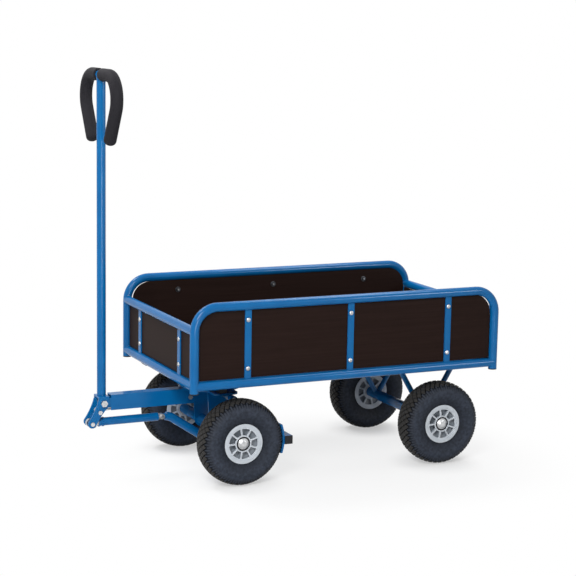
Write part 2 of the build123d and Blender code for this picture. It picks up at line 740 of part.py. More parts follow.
def half_rim():
    """Outer half of a moulded wheel: barrel, hub, disc with windows, and ribs on a dished web behind."""
    barrel_r = BEAD_SEAT_R - RIM_WALL / 2
    bore_r = AXLE_SHAFT_D / 2 + RUNNING_FIT + BEARING_WALL
    collar_r = CAP_WELL_R + CAP_WELL_WALL
    face = turned_y([
        (bore_r, -HUB_HALF),
        (HUB_R, -HUB_HALF),
        (HUB_R, HUB_HALF - DISC_THICK),
        (collar_r, HUB_HALF - DISC_THICK),
        (collar_r, DISC_HUB_Y - DISC_THICK),
        (barrel_r, DISC_RIM_Y - DISC_THICK),
        (barrel_r, DISC_RIM_Y),
        (CAP_WELL_R, DISC_HUB_Y),
        (CAP_WELL_R, HUB_HALF),
        (bore_r, HUB_HALF),
    ])
    web_r = HUB_R - RIM_WALL / 2
    web = turned_y([
        (web_r, WEB_HUB_Y),
        (barrel_r, WEB_RIM_Y),
        (barrel_r, WEB_RIM_Y - WEB_THICK),
        (web_r, WEB_HUB_Y - WEB_THICK),
    ])
    rib = block(
        (web_r, barrel_r),
        (WEB_HUB_Y - WEB_THICK / 2, DISC_HUB_Y - DISC_THICK / 2),
        (-RIB_THICK / 2, RIB_THICK / 2),
    )
    window = Circle(WINDOW_OUTER_R) - Circle(WINDOW_INNER_R)
    ribs = []
    for i in range(WINDOW_COUNT):
        turn = 360 * i / WINDOW_COUNT
        window -= Rot(0, 0, turn) * Pos(WINDOW_OUTER_R / 2, 0) * Rectangle(WINDOW_OUTER_R, SPOKE_WIDTH)
        ribs.append(Rot(0, turn, 0) * rib)
    window = fillet(window.vertices(), WINDOW_CORNER_R)
    disc = face - plate_y(window, WEB_RIM_Y, DISC_RIM_Y + DISC_THICK)
    reach = (-TYRE_R, TYRE_R)
    return rim_barrel() + disc + web + ribs - block(reach, (-TYRE_HALF_WIDTH, 0), reach)


def rim():
    """Plastic wheel of two like halves that meet in the middle."""
    return group(*both_sides(half_rim()))


def bearing():
    inner = AXLE_SHAFT_D / 2 + RUNNING_FIT
    outer = inner + BEARING_WALL
    return turned_y([(inner, -HUB_HALF), (outer, -HUB_HALF), (outer, HUB_HALF), (inner, HUB_HALF)])


# Drawbar arm and gas spring
ARM_HALF = ARM_WIDTH / 2
SPRING_REAR = Vector(SPRING_REAR_X, 0, SPRING_REAR_Z)
SPRING_FRONT = Vector(FORK_SECOND_X, 0, FORK_SECOND_Z)
SPRING_AXIS = (SPRING_FRONT - SPRING_REAR).normalized()
SPRING_MOUTH = SPRING_REAR + SPRING_AXIS * (SPRING_EYE_R + SPRING_BODY_LENGTH)


def drawbar_arm():
    """Channel, open below, from under the turntable out to the hinge lugs."""
    web = block((ARM_FRONT_X, ARM_REAR_X), (-ARM_HALF, ARM_HALF), (BOGIE_UNDER_Z - ARM_WALL, BOGIE_UNDER_Z))
    length = ARM_REAR_X - ARM_FRONT_X
    height = BOGIE_UNDER_Z - ARM_BOTTOM_Z
    side = Pos(ARM_FRONT_X + length / 2, ARM_BOTTOM_Z + height / 2) * Rectangle(length, height)
    lug = Pos((HINGE_X + ARM_FRONT_X) / 2, HINGE_Z) * Rectangle(ARM_FRONT_X - HINGE_X, 2 * ARM_LUG_R)
    side += lug + Pos(HINGE_X, HINGE_Z) * Circle(ARM_LUG_R)
    side -= Pos(HINGE_X, HINGE_Z) * Circle(HINGE_BOLT_D / 2 + FIXED_FIT)
    side -= Pos(SPRING_REAR_X, SPRING_REAR_Z) * Circle(SMALL_BOLT_D / 2 + FIXED_FIT)
    arm = web
    for cheek in both_sides(plate_y(side, ARM_HALF - ARM_WALL, ARM_HALF)):
        arm += cheek
    return arm


def hinge_bush():
    """Spacer tube on the hinge bolt between the arm's lugs."""
    reach = ARM_HALF - ARM_WALL
    ring = Circle(HINGE_BUSH_R) - Circle(HINGE_BOLT_D / 2 + FIXED_FIT)
    return plate_y(Pos(HINGE_X, HINGE_Z) * ring, -reach, reach)


def arm_bolts():
    return group(
        hex_bolt(HINGE_X, HINGE_Z, HINGE_BOLT_D, FORK_OUTER + GAP),
        hex_bolt(SPRING_REAR_X, SPRING_REAR_Z, SMALL_BOLT_D, ARM_HALF),
    )


def gas_spring_cylinder():
    """Cylinder pinned in the arm, bored for its rod."""
    body = rod(SPRING_REAR + SPRING_AXIS * (SPRING_EYE_R / 2), SPRING_MOUTH, SPRING_BODY_D)
    depth = SPRING_ROD_INSIDE + SPRING_TRAVEL + SPRING_ROD_D
    body -= rod(SPRING_MOUTH - SPRING_AXIS * depth, SPRING_MOUTH, SPRING_ROD_D + 2 * RUNNING_FIT)
    eye = Pos(SPRING_REAR_X, SPRING_REAR_Z)
    body += plate_y(eye * Circle(SPRING_EYE_R), -SPRING_EYE_HALF, SPRING_EYE_HALF)
    hole = eye * Circle(SMALL_BOLT_D / 2 + FIXED_FIT)
    return body - plate_y(hole, -SPRING_BODY_D, SPRING_BODY_D)


def gas_spring_rod():
    """Piston rod with an eye whose slot lets the fork's bolt swing past the rod's line."""
    tilt = math.degrees(math.atan2(SPRING_AXIS.Z, SPRING_AXIS.X))
    slot_r = SMALL_BOLT_D / 2 + 2 * GAP
    front = Pos(FORK_SECOND_X, FORK_SECOND_Z) * Rot(0, 0, tilt)
    slot = hull((0, SPRING_SLOT_BACK, slot_r), (0, -SPRING_SLOT_AHEAD, slot_r))
    wall = SPRING_EYE_R - SMALL_BOLT_D / 2
    eye = hull((0, SPRING_SLOT_BACK, slot_r + wall), (0, -SPRING_SLOT_AHEAD, slot_r + wall))
    inside = SPRING_MOUTH - SPRING_AXIS * SPRING_ROD_INSIDE
    piston = rod(inside, SPRING_FRONT - SPRING_AXIS * SPRING_EYE_R, SPRING_ROD_D)
    piston += plate_y(front * eye, -SPRING_EYE_HALF, SPRING_EYE_HALF)
    return piston - plate_y(front * slot, -SPRING_EYE_R, SPRING_EYE_R)


# Drawbar
def fork_lever():
    """Side view of one lever plate: round at the hinge and the tip, drawn in between."""
    hinge = Vector(HINGE_X, HINGE_Z)
    tip = Vector(FORK_TIP_X, BRAKE_ROD_Z)
    across = (tip - hinge).normalized().rotate(Axis.Z, 90)
    edges = []
    for side in (1, -1):
        top = hinge + across * (side * FORK_HINGE_R)
        low = tip + across * (side * FORK_TIP_R)
        edges.append(ThreePointArc(top, (top + low) / 2 - across * (side * FORK_WAIST), low))
    ends = [Line(edges[0] @ end, edges[1] @ end) for end in (0, 1)]
    lever = make_face([*edges, *ends])
    return lever + Pos(hinge) * Circle(FORK_HINGE_R) + Pos(tip) * Circle(FORK_TIP_R)


def drawbar_fork():
    """Two lever plates beside the arm, joined by a bridge that carries the drawbar."""
    outline = fork_lever()
    rise = DRAWBAR_FOOT_Z - HINGE_Z
    outline += Pos(HINGE_X, HINGE_Z + rise / 2) * Rectangle(2 * BRIDGE_HALF, rise)
    outline -= Pos(HINGE_X, HINGE_Z) * Circle(HINGE_BOLT_D / 2 + RUNNING_FIT)
    for x, z in ((FORK_TIP_X, BRAKE_ROD_Z), (FORK_SECOND_X, FORK_SECOND_Z)):
        outline -= Pos(x, z) * Circle(SMALL_BOLT_D / 2 + FIXED_FIT)
    fork = block(
        (HINGE_X - BRIDGE_HALF, HINGE_X + BRIDGE_HALF), (-FORK_INNER, FORK_INNER), (BRIDGE_Z, DRAWBAR_FOOT_Z)
    )
    for plate in both_sides(plate_y(outline, FORK_INNER, FORK_OUTER)):
        fork += plate
    return fork


def fork_bolts():
    """Bolts of the brake rod and gas spring, with spacers that centre the two eyes."""
    pieces = []
    for x, z, eye_half in (
        (FORK_TIP_X, BRAKE_ROD_Z, ROD_EYE_HALF),
        (FORK_SECOND_X, FORK_SECOND_Z, SPRING_EYE_HALF),
    ):
        pieces.append(hex_bolt(x, z, SMALL_BOLT_D, FORK_OUTER))
        pieces.extend(both_sides(spacer(x, z, eye_half + GAP, FORK_INNER)))
    return group(*pieces)


def handle_path(start_y):
    """Half of the handle's centre line, from the top towards the end on the far side."""
    return FilletPolyline(
        (HINGE_X, start_y, HANDLE_TOP_Z),
        (HINGE_X, HANDLE_CORNER_Y, HANDLE_TOP_Z),
        (HINGE_X, HANDLE_END_Y, HANDLE_END_Z),
        radius=HANDLE_BEND_R,
    )


def handle_bow():
    """Tube bent to a bow with drawn-in ends, welded across the drawbar's top."""
    half = swept(handle_path(0), Circle(HANDLE_TUBE_D / 2) - Circle(HANDLE_TUBE_D / 2 - HANDLE_TUBE_WALL))
    return half + mirror(half, Plane.XZ)


def grip():
    """Soft sleeve over the far half of the bow with a closed round end."""
    path = handle_path(GRIP_START_Y)
    sleeve = swept(path, Circle(GRIP_D / 2))
    sleeve += Pos(HINGE_X, HANDLE_END_Y, HANDLE_END_Z) * Sphere(GRIP_D / 2)
    sleeve = sleeve - swept(handle_path(0), Circle(HANDLE_TUBE_D / 2))
    return sleeve


def drawbar_tube():
    foot = (HINGE_X, 0, DRAWBAR_FOOT_Z)
    pole = tube(foot, (HINGE_X, 0, HANDLE_TOP_Z), DRAWBAR_TUBE_D, DRAWBAR_TUBE_WALL)
    reach = HANDLE_CORNER_Y - HANDLE_BEND_R
    return pole - rod((HINGE_X, -reach, HANDLE_TOP_Z), (HINGE_X, reach, HANDLE_TOP_Z), HANDLE_TUBE_D)


# Brake
def side_path(points, radius):
    """Rounded path in the cart's middle plane through x and z points."""
    return FilletPolyline(*[(x, 0, z) for x, z in points], radius=radius)


def brake_bar_box(half_length):
    low = BAR_Z - BAR_SIZE / 2
    return block((BAR_FRONT_X, BAR_FRONT_X + BAR_SIZE), (-half_length, half_length), (low, low + BAR_SIZE))


def brake_bar():
    """Square tube behind both front wheels."""
    inner = BAR_SIZE - 2 * BAR_WALL
    return brake_bar_box(BAR_HALF_LENGTH) - Pos(BAR_X, 0, BAR_Z) * Box(inner, 2 * BAR_HALF_LENGTH, inner)


def bar_caps():
    fill = BAR_SIZE - 2 * BAR_WALL - 2 * FIXED_FIT
    outer_y = BAR_HALF_LENGTH + BAR_CAP_THICK / 2
    cap = Pos(BAR_X, outer_y, BAR_Z) * Box(BAR_SIZE, BAR_CAP_THICK, BAR_SIZE)
    cap += Pos(BAR_X, BAR_HALF_LENGTH - BAR_CAP_DEPTH / 2, BAR_Z) * Box(fill, BAR_CAP_DEPTH, fill)
    return group(*both_sides(cap))


def brake_shoes():
    """Curved shoes that follow the tyre, with a flat on the back for the bar."""
    ring = Pos(0, AXLE_Z) * (Circle(SHOE_R + SHOE_THICK) - Circle(SHOE_R))
    window = Pos(SHOE_R, (SHOE_LOW_Z + SHOE_HIGH_Z) / 2) * Rectangle(SHOE_R, SHOE_HIGH_Z - SHOE_LOW_Z)
    shoe = plate_y(ring & window, SHOE_INNER_Y, SHOE_OUTER_Y)
    return group(*both_sides(shoe - brake_bar_box(BAR_HALF_LENGTH)))


def brake_hangers():
    """Flat arms that swing the bar from the pivot pins."""
    pivot = (BRAKE_PIVOT_X, BRAKE_PIVOT_Z)
    outline = hull((*pivot, HANGER_HEIGHT / 2), (BAR_X, BAR_Z, HANGER_HEIGHT / 2))
    arm = plate_y(outline, HANGER_Y - HANGER_THICK / 2, HANGER_Y + HANGER_THICK / 2)
    boss = Pos(*pivot) * Circle(HANGER_BOSS_R)
    arm += plate_y(boss, HANGER_Y - HANGER_BOSS_HALF, HANGER_Y + HANGER_BOSS_HALF)
    hole = Pos(*pivot) * Circle(BRAKE_PIN_D / 2 + RUNNING_FIT)
    arm -= plate_y(hole, HANGER_Y - HANGER_BOSS_HALF, HANGER_Y + HANGER_BOSS_HALF)
    return group(*both_sides(arm - brake_bar_box(BAR_HALF_LENGTH)))


def brake_pivot_pins():
    """Pins through the bolster cheeks that the brake hangers turn on."""
    pin = rod(
        (BRAKE_PIVOT_X, BRAKE_PIN_INNER_Y, BRAKE_PIVOT_Z),
        (BRAKE_PIVOT_X, BRAKE_PIN_OUTER_Y, BRAKE_PIVOT_Z),
        BRAKE_PIN_D,
    )
    return group(*both_sides(pin))


def brake_yoke():
    """Tube bent to pass under the axle to the bar, its closed front end with a tongue for the rod."""
    path = side_path(
        [
            (YOKE_FRONT_X, YOKE_FRONT_Z),
            (YOKE_BEND_X, YOKE_BEND_Z),
            (YOKE_LOW_X, AXLE_Z - YOKE_DROP),
            (YOKE_RISE_X, BAR_Z),
            (BAR_FRONT_X, BAR_Z),
        ],
        YOKE_BEND_R,
    )
    outer_r = YOKE_TUBE_D / 2
    yoke = swept(path, Circle(outer_r) - Circle(outer_r - YOKE_TUBE_WALL))
    yoke += extrude(Plane(origin=path @ 0, z_dir=path % 0) * Circle(outer_r), YOKE_TUBE_WALL)
    tongue = hull((ROD_PIN_X, BRAKE_ROD_Z, TONGUE_R), (YOKE_FRONT_X, YOKE_FRONT_Z, TONGUE_R))
    tongue -= Pos(ROD_PIN_X, BRAKE_ROD_Z) * Circle(SMALL_BOLT_D / 2 + FIXED_FIT)
    return yoke + plate_y(tongue, -TONGUE_THICK / 2, TONGUE_THICK / 2)


def brake_rod():
    """Tube of the push rod with two pressed rings at its front end."""
    rod_tube = rod((ROD_FRONT_X, 0, BRAKE_ROD_Z), (ROD_REAR_X, 0, BRAKE_ROD_Z), ROD_D)
    for i in range(2):
        start = ROD_FRONT_X + i * ROD_RING_PITCH
        rod_tube += rod((start, 0, BRAKE_ROD_Z), (start + ROD_RING_LENGTH, 0, BRAKE_ROD_Z), ROD_RING_D)
    bore = ROD_D - 2 * ROD_WALL
    return rod_tube - rod((ROD_FRONT_X, 0, BRAKE_ROD_Z), (ROD_REAR_X, 0, BRAKE_ROD_Z), bore)


def rod_eyes():
    """Ends of the rod: in front an eye slotted for the fork's swing, behind a fork head round the tongue."""
    plug_d = ROD_D - 2 * ROD_WALL - 2 * FIXED_FIT
    slot_r = SMALL_BOLT_D / 2 + ROD_SLOT_ROOM
    slot_end = (FORK_TIP_X + ROD_SLOT_X, BRAKE_ROD_Z + ROD_SLOT_Z)
    wall = ROD_EYE_R - SMALL_BOLT_D / 2
    outline = hull((FORK_TIP_X, BRAKE_ROD_Z, slot_r + wall), (*slot_end, slot_r + wall))
    outline -= hull((FORK_TIP_X, BRAKE_ROD_Z, slot_r), (*slot_end, slot_r))
    eye = plate_y(outline, -ROD_EYE_HALF, ROD_EYE_HALF)
    neck_x = slot_end[0] + slot_r + wall / 2
    eye += rod((neck_x, 0, BRAKE_ROD_Z), (ROD_FRONT_X, 0, BRAKE_ROD_Z), ROD_NECK_D)
    eye += rod((ROD_FRONT_X, 0, BRAKE_ROD_Z), (ROD_FRONT_X + plug_d, 0, BRAKE_ROD_Z), plug_d)

    shank = ROD_PIN_X - ROD_REAR_X
    outline = Pos(ROD_REAR_X + shank / 2, BRAKE_ROD_Z) * Rectangle(shank, 2 * ROD_HEAD_R)
    outline += Pos(ROD_PIN_X, BRAKE_ROD_Z) * Circle(ROD_HEAD_R)
    outline -= Pos(ROD_PIN_X, BRAKE_ROD_Z) * Circle(SMALL_BOLT_D / 2 + RUNNING_FIT)
    slot_half = TONGUE_THICK / 2 + GAP
    head = plate_y(outline, -ROD_HEAD_HALF, ROD_HEAD_HALF) - block(
        (ROD_PIN_X - ROD_HEAD_DEPTH, ROD_PIN_X + ROD_HEAD_R),
        (-slot_half, slot_half),
        (BRAKE_ROD_Z - ROD_HEAD_R, BRAKE_ROD_Z + ROD_HEAD_R),
    )
    head += rod((ROD_REAR_X - plug_d, 0, BRAKE_ROD_Z), (ROD_REAR_X, 0, BRAKE_ROD_Z), plug_d)
    return group(eye, head)


def yoke_bolt():
    """Bolt through the rod's fork head and the yoke's tongue."""
    return hex_bolt(ROD_PIN_X, BRAKE_ROD_Z, SMALL_BOLT_D, ROD_HEAD_HALF + GAP)


# Nodes of the bed, and of everything that steers with the bogie
BED_NODES = {
    "side_frame_left": side_frame(-HALF_WIDTH),
    "side_frame_right": side_frame(HALF_WIDTH),
    "side_bottom_rails": side_bottom_rails(),
    "end_rails": end_rails(),
    "panel_bars": panel_bars(),
    "side_panels": side_panels(),
    "end_panels": end_panels(),
    "floor_panel": floor_panel(),
    "panel_bolts": panel_bolts(),
    "panel_nuts": panel_nuts(),
    "post_plugs": post_plugs(),
    "longitudinals": longitudinals(),
    "cross_members": cross_members(),
    "turntable_plate": turntable_plate(),
    "turntable_upper_race": turntable_upper_race(),
    "rear_axle_tube": axle_tube(AXLE_X),
    "rear_axle_shaft": axle_shaft(AXLE_X),
    "rear_axle_fittings": axle_fittings(AXLE_X),
    "rear_struts": rear_struts(),
}
FAR_GRIP = grip()
BOGIE_NODES = {
    "turntable_lower_race": turntable_lower_race(),
    "turntable_balls": turntable_balls(),
    "bogie_plate": bogie_plate(),
    "bolster_pads": bolster_pads(),
    "kingpin": kingpin(),
    "bolster_cheeks": bolster_cheeks(),
    "front_axle_tube": axle_tube(0),
    "front_axle_shaft": axle_shaft(0),
    "front_axle_fittings": axle_fittings(0),
    "drawbar_arm": drawbar_arm(),
    "hinge_bush": hinge_bush(),
    "arm_bolts": arm_bolts(),
    "gas_spring_cylinder": gas_spring_cylinder(),
    "gas_spring_rod": gas_spring_rod(),
    "brake_pivot_pins": brake_pivot_pins(),
    "drawbar_tube": drawbar_tube(),
    "drawbar_fork": drawbar_fork(),
    "fork_bolts": fork_bolts(),
    "handle_bow": handle_bow(),
    "grip_left": mirror(FAR_GRIP, Plane.XZ),
    "grip_right": FAR_GRIP,
    "brake_bar": brake_bar(),
    "bar_caps": bar_caps(),
    "brake_shoes": brake_shoes(),
    "brake_hangers": brake_hangers(),
    "brake_yoke": brake_yoke(),
    "yoke_bolt": yoke_bolt(),
    "brake_rod": brake_rod(),
    "rod_eyes": rod_eyes(),
}
WHEEL_NODES = {"tyre": tyre(), "rim": rim(), "bearing": bearing()}
WHEEL_PLACES = {
    "front_left": (KINGPIN_X, -TRACK_HALF, 180),
    "front_right": (KINGPIN_X, TRACK_HALF, 0),
    "rear_left": (BED_X + AXLE_X, -TRACK_HALF, 180),
    "rear_right": (BED_X + AXLE_X, TRACK_HALF, 0),
}

os.makedirs("parts", exist_ok=True)
for name, shape in BED_NODES.items():
    export_step(Pos(BED_X, 0, 0) * shape, f"parts/{name}.step")
for name, shape in BOGIE_NODES.items():
    export_step(Pos(KINGPIN_X, 0, 0) * shape, f"parts/{name}.step")
for corner, (x, y, turn) in WHEEL_PLACES.items():
    for name, shape in WHEEL_NODES.items():
        export_step(Pos(x, y, AXLE_Z) * Rot(0, 0, turn) * shape, f"parts/{corner}_{name}.step")
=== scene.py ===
"""Looks of a blue hand cart: tube bed with plywood sides, drawbar, brake and pneumatic wheels.

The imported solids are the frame. Tyres, grips, screws, nuts and hub seals are modelled here in their
places; every other piece keeps its solid and gets its finish. Everything is in metres.
"""

import json
import math

import bmesh
import bpy
from mathutils import Matrix, Vector


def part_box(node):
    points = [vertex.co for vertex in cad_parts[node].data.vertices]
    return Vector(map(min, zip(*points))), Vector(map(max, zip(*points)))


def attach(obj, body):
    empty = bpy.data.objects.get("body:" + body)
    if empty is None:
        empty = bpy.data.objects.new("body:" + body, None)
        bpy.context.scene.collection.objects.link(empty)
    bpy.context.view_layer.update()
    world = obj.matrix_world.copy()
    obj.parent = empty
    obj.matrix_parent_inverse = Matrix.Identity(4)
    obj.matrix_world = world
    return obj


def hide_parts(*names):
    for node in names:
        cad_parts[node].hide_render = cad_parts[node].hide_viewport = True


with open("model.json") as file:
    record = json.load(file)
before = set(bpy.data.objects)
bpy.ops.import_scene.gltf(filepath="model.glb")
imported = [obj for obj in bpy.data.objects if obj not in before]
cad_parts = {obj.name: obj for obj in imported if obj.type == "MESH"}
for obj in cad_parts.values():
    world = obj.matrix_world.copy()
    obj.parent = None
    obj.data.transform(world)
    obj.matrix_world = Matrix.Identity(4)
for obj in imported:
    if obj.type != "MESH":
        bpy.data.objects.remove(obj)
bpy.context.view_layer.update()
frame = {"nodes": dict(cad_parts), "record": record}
MM = 0.001


def middle(node):
    """Middle of a node's box."""
    low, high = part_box(node)
    return (low + high) / 2


def half(node):
    """Half the size of a node's box."""
    low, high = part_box(node)
    return (high - low) / 2


# Bed, read from the frame
BED_X = middle("floor_panel").x
TUBE_R = half("side_frame_left").y
SIDE_Y = half("side_bottom_rails").y - TUBE_R
END_X = half("side_frame_left").x - TUBE_R
TOP_RAIL_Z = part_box("side_frame_left")[1].z - TUBE_R
END_RAIL_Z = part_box("end_rails")[1].z - TUBE_R
BOTTOM_RAIL_Z = middle("side_bottom_rails").z

# Screws through bars and panels
SIDE_BAR_PITCH = 336.7 * MM
END_BAR_Y = 168.0 * MM
SCREW_INSET = 43.0 * MM
BAR_THICK = 4.0 * MM
PANEL_THICK = 9.0 * MM
SCREW_R = 3.0 * MM
SCREW_TIP_R = SCREW_R * 0.8
SCREW_TIP_H = 0.8 * MM
SCREW_HEAD_R = 7.0 * MM
SCREW_HEAD_H = 3.6 * MM
DOME_ANGLES = (8, 25, 42, 58)  # degrees up the head's dome
DOME_FLATTEN = 0.9
SOCKET_FLAT = 3.0 * MM
SOCKET_DEPTH = 2.8 * MM
WASHER_R = 9.0 * MM
WASHER_THICK = 1.6 * MM
WASHER_EDGE = 0.3 * MM
NUT_FLAT = 5.0 * MM
NUT_H = 5.0 * MM
NUT_CHAMFER = 0.7 * MM
NUT_FACE = 0.98  # radius of the nut's round face as a share of its half width
NUT_GAP = 0.05 * MM

# Tyres
CORNERS = ("front_left", "front_right", "rear_left", "rear_right")
TYRE_R = half("front_left_tyre").z
TYRE_HALF = half("front_left_tyre").y
WHEEL_Y = middle("front_right_rim").y
RECESS_Y = 24.0 * MM  # from the wheel's middle plane
RIM_FACE_Y = 30.0 * MM
CROWN_HALF = 30.0 * MM
CROWN_DROP = 4.0 * MM
SHOULDER_MID = (39.4 * MM, 113.8 * MM)  # distance from the middle plane and radius, halfway down the shoulder
SIDE_R = 97.0 * MM
WALL_MID = (38.5 * MM, 76.5 * MM)  # the same, halfway down the sidewall
BEAD_R = 56.0 * MM
TREAD_DEPTH = 3.2 * MM
TREAD_SINK = 0.6 * MM  # how far blocks and lugs reach into the carcass
TREAD_EDGE = 0.6 * MM
TREAD_PITCHES = 44
TREAD_COLUMNS = 5
COLUMN_STEP = 12.5 * MM
GROOVE = 3.2 * MM
BLOCK_FLARE = 0.06  # how much larger a block is at its foot, as a share of its pitch
BLOCK_BEVEL = 0.07  # and how much smaller on top
LUG_WIDTH = 4.6 * MM
LUG_FOOT = 1.25  # width at the foot and on top as shares
LUG_TOP = 0.8
LUG_SINK = 0.2 * MM
LUG_STARTS = (1.3, 1.04)  # stations on the section where every other lug begins
LUG_END = 0.75  # share of the shoulder that the lugs reach down
LUG_TONE = 0.2  # share of the tread's colour on the lugs
GROOVE_END = 0.72  # share of the shoulder over which the painted shade in the grooves fades out
BEAD_RIB = 1.0 * MM
BEAD_RIB_AT = 2.86  # station on the section
BEAD_RIB_HALF = 0.05
BEAD_DARK_FROM = 2.1  # station where painted shade starts to darken the wall towards the bead
BEAD_DARK = 0.7

# Grips on the handle's bow
HANDLE_X = middle("drawbar_tube").x
HANDLE_TOP_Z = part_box("handle_bow")[1].z - half("handle_bow").x
GRIP_R = half("grip_left").x
BOW_R = half("handle_bow").x
GRIP_START_Y = 15.0 * MM
GRIP_GAP = 0.4 * MM
GRIP_EDGE = 2.0 * MM  # rounding of the open end, with one point between
GRIP_EDGE_MID = 0.6 * MM
BEND_R = 66.5 * MM
BOW_CORNER_Y = 190.0 * MM
BOW_END_Y = 84.3 * MM
BOW_DROP = 180.5 * MM
GRIP_END_ROUND = 13.0 * MM

# Black seal in the well round each push cap, also standing in for the shade in the well
SEAL_INNER_R = 17.2 * MM
SEAL_OUTER_R = 21.9 * MM
SEAL_THICK = 2.2 * MM
SEAL_BEVEL = 0.8 * MM
SEAL_WALL = 0.6  # share of the thickness below the bevel
HUB_HALF = 28.0 * MM

# Camera at the photograph's place, found from the bed's corners and the wheels
VIEW_YAW = math.radians(-25.134)
VIEW_PITCH = math.radians(9.41)
VIEW_ROLL = math.radians(1.008)
VIEW_DISTANCE = 5.153
VIEW_AIM = Vector((BED_X - 0.0753, 0.0, 0.5412))
LENS = 102.7
SENSOR = 36.0

# Floor: its shade fades out with the distance from the middle, and is deeper close to each wheel
FLOOR_HALF = 40.0
FLOOR_MIDDLE = (BED_X + 0.05, -0.15, 0.0)
FLOOR_SHADE = (0.56, 0.55, 1.0)  # half length and width of the floor that shows the shadow
SHADE_FADE = (0.7, 1.4)  # from where to where it fades, as shares of those
SHADE_WHITE = (0.8, 1.0)  # share of white that the eye sees inside and outside
PATCH_FADE = (0.03, 0.17)  # the same round each wheel's foot, as distances
PATCH_WHITE = (0.55, 1.0)
FRONT_AXLE_X = middle("front_left_tyre").x
REAR_AXLE_X = middle("rear_left_tyre").x

# Lamps: name, place from the bed's middle, width, height, watts, and whether matt faces get its light;
# the two strips only show in gloss, as streaks along the tubes
LAMPS = (
    ("overhead_lamp", (-1.5, 1.2, 3.0), 1.0, 1.0, 55, True),
    ("left_front_lamp", (-2.5, -3.0, 2.8), 1.6, 1.6, 153, True),
    ("rail_softbox", (1.2, 0.1, 3.0), 2.4, 0.7, 37, True),
    ("post_strip", (-0.8, -3.2, 0.4), 0.5, 0.7, 28, False),
    ("rail_strip", (2.0, -3.2, 1.3), 0.8, 0.45, 36, False),
)
AMBIENT = 0.14


def add(tree, kind, inputs, **settings):
    """Add one node: settings are its properties, inputs are values or the sockets that feed it."""
    node = tree.nodes.new(kind)
    for name, value in settings.items():
        setattr(node, name, value)
    for key, value in inputs.items():
        if isinstance(value, bpy.types.NodeSocket):
            tree.links.new(value, node.inputs[key])
        else:
            node.inputs[key].default_value = value
    return node


def srgb(code):
    """Linear colour of an sRGB hex value."""
    channels = [int(code[i:i + 2], 16) / 255 for i in (1, 3, 5)]
    linear = [c / 12.92 if c <= 0.04045 else ((c + 0.055) / 1.055) ** 2.4 for c in channels]
    return (*linear, 1.0)


def start_material(name, constants):
    """A material whose constants sit on its shader's own sockets."""
    material = bpy.data.materials.new(name)
    material.use_nodes = True
    shader = material.node_tree.nodes["Principled BSDF"]
    for socket, value in constants.items():
        shader.inputs[socket].default_value = value
    return material, material.node_tree, shader


def ramp(tree, factor, low, dark, high, light):
    """Colour that runs from one sRGB hex value to another between two places on the factor's scale."""
    node = add(tree, "ShaderNodeValToRGB", {"Fac": factor})
    for element, position, code in zip(node.color_ramp.elements, (low, high), (dark, light)):
        element.position = position
        element.color = srgb(code)
    return node.outputs["Color"]


def blend(tree, factor, first, second):
    """Colour between two others."""
    mixed = add(tree, "ShaderNodeMix", {"Factor": factor, 6: first, 7: second}, data_type="RGBA")
    return mixed.outputs[2]


def feed(tree, shader, sockets):
    """Link what drives the shader."""
    for name, socket in sockets.items():
        tree.links.new(socket, shader.inputs[name])


# Finishes
def powder_coated_steel():
    """Polyester powder coat on steel tube: even blue, semi-gloss, with a faint orange peel."""
    material, tree, shader = start_material("powder_coated_steel", {"Specular IOR Level": 0.2})
    place = add(tree, "ShaderNodeTexCoord", {}).outputs["Object"]
    clouds = add(tree, "ShaderNodeTexNoise", {"Vector": place, "Scale": 1 / (70 * MM), "Detail": 3.0})
    tone = ramp(tree, clouds.outputs["Fac"], 0.3, "#055D99", 0.7, "#0765A1")
    gloss = add(tree, "ShaderNodeMapRange", {"Value": clouds.outputs["Fac"], "To Min": 0.14, "To Max": 0.2})
    # Real orange peel is about 1 mm across; 4 mm shows at this picture's size.
    peel = add(tree, "ShaderNodeTexNoise", {"Vector": place, "Scale": 1 / (4 * MM), "Detail": 1.0})
    bump = add(tree, "ShaderNodeBump", {"Height": peel.outputs["Fac"], "Strength": 0.08, "Distance": 0.2 * MM})
    feed(tree, shader, {"Base Color": tone, "Roughness": gloss.outputs["Result"], "Normal": bump.outputs["Normal"]})
    return material


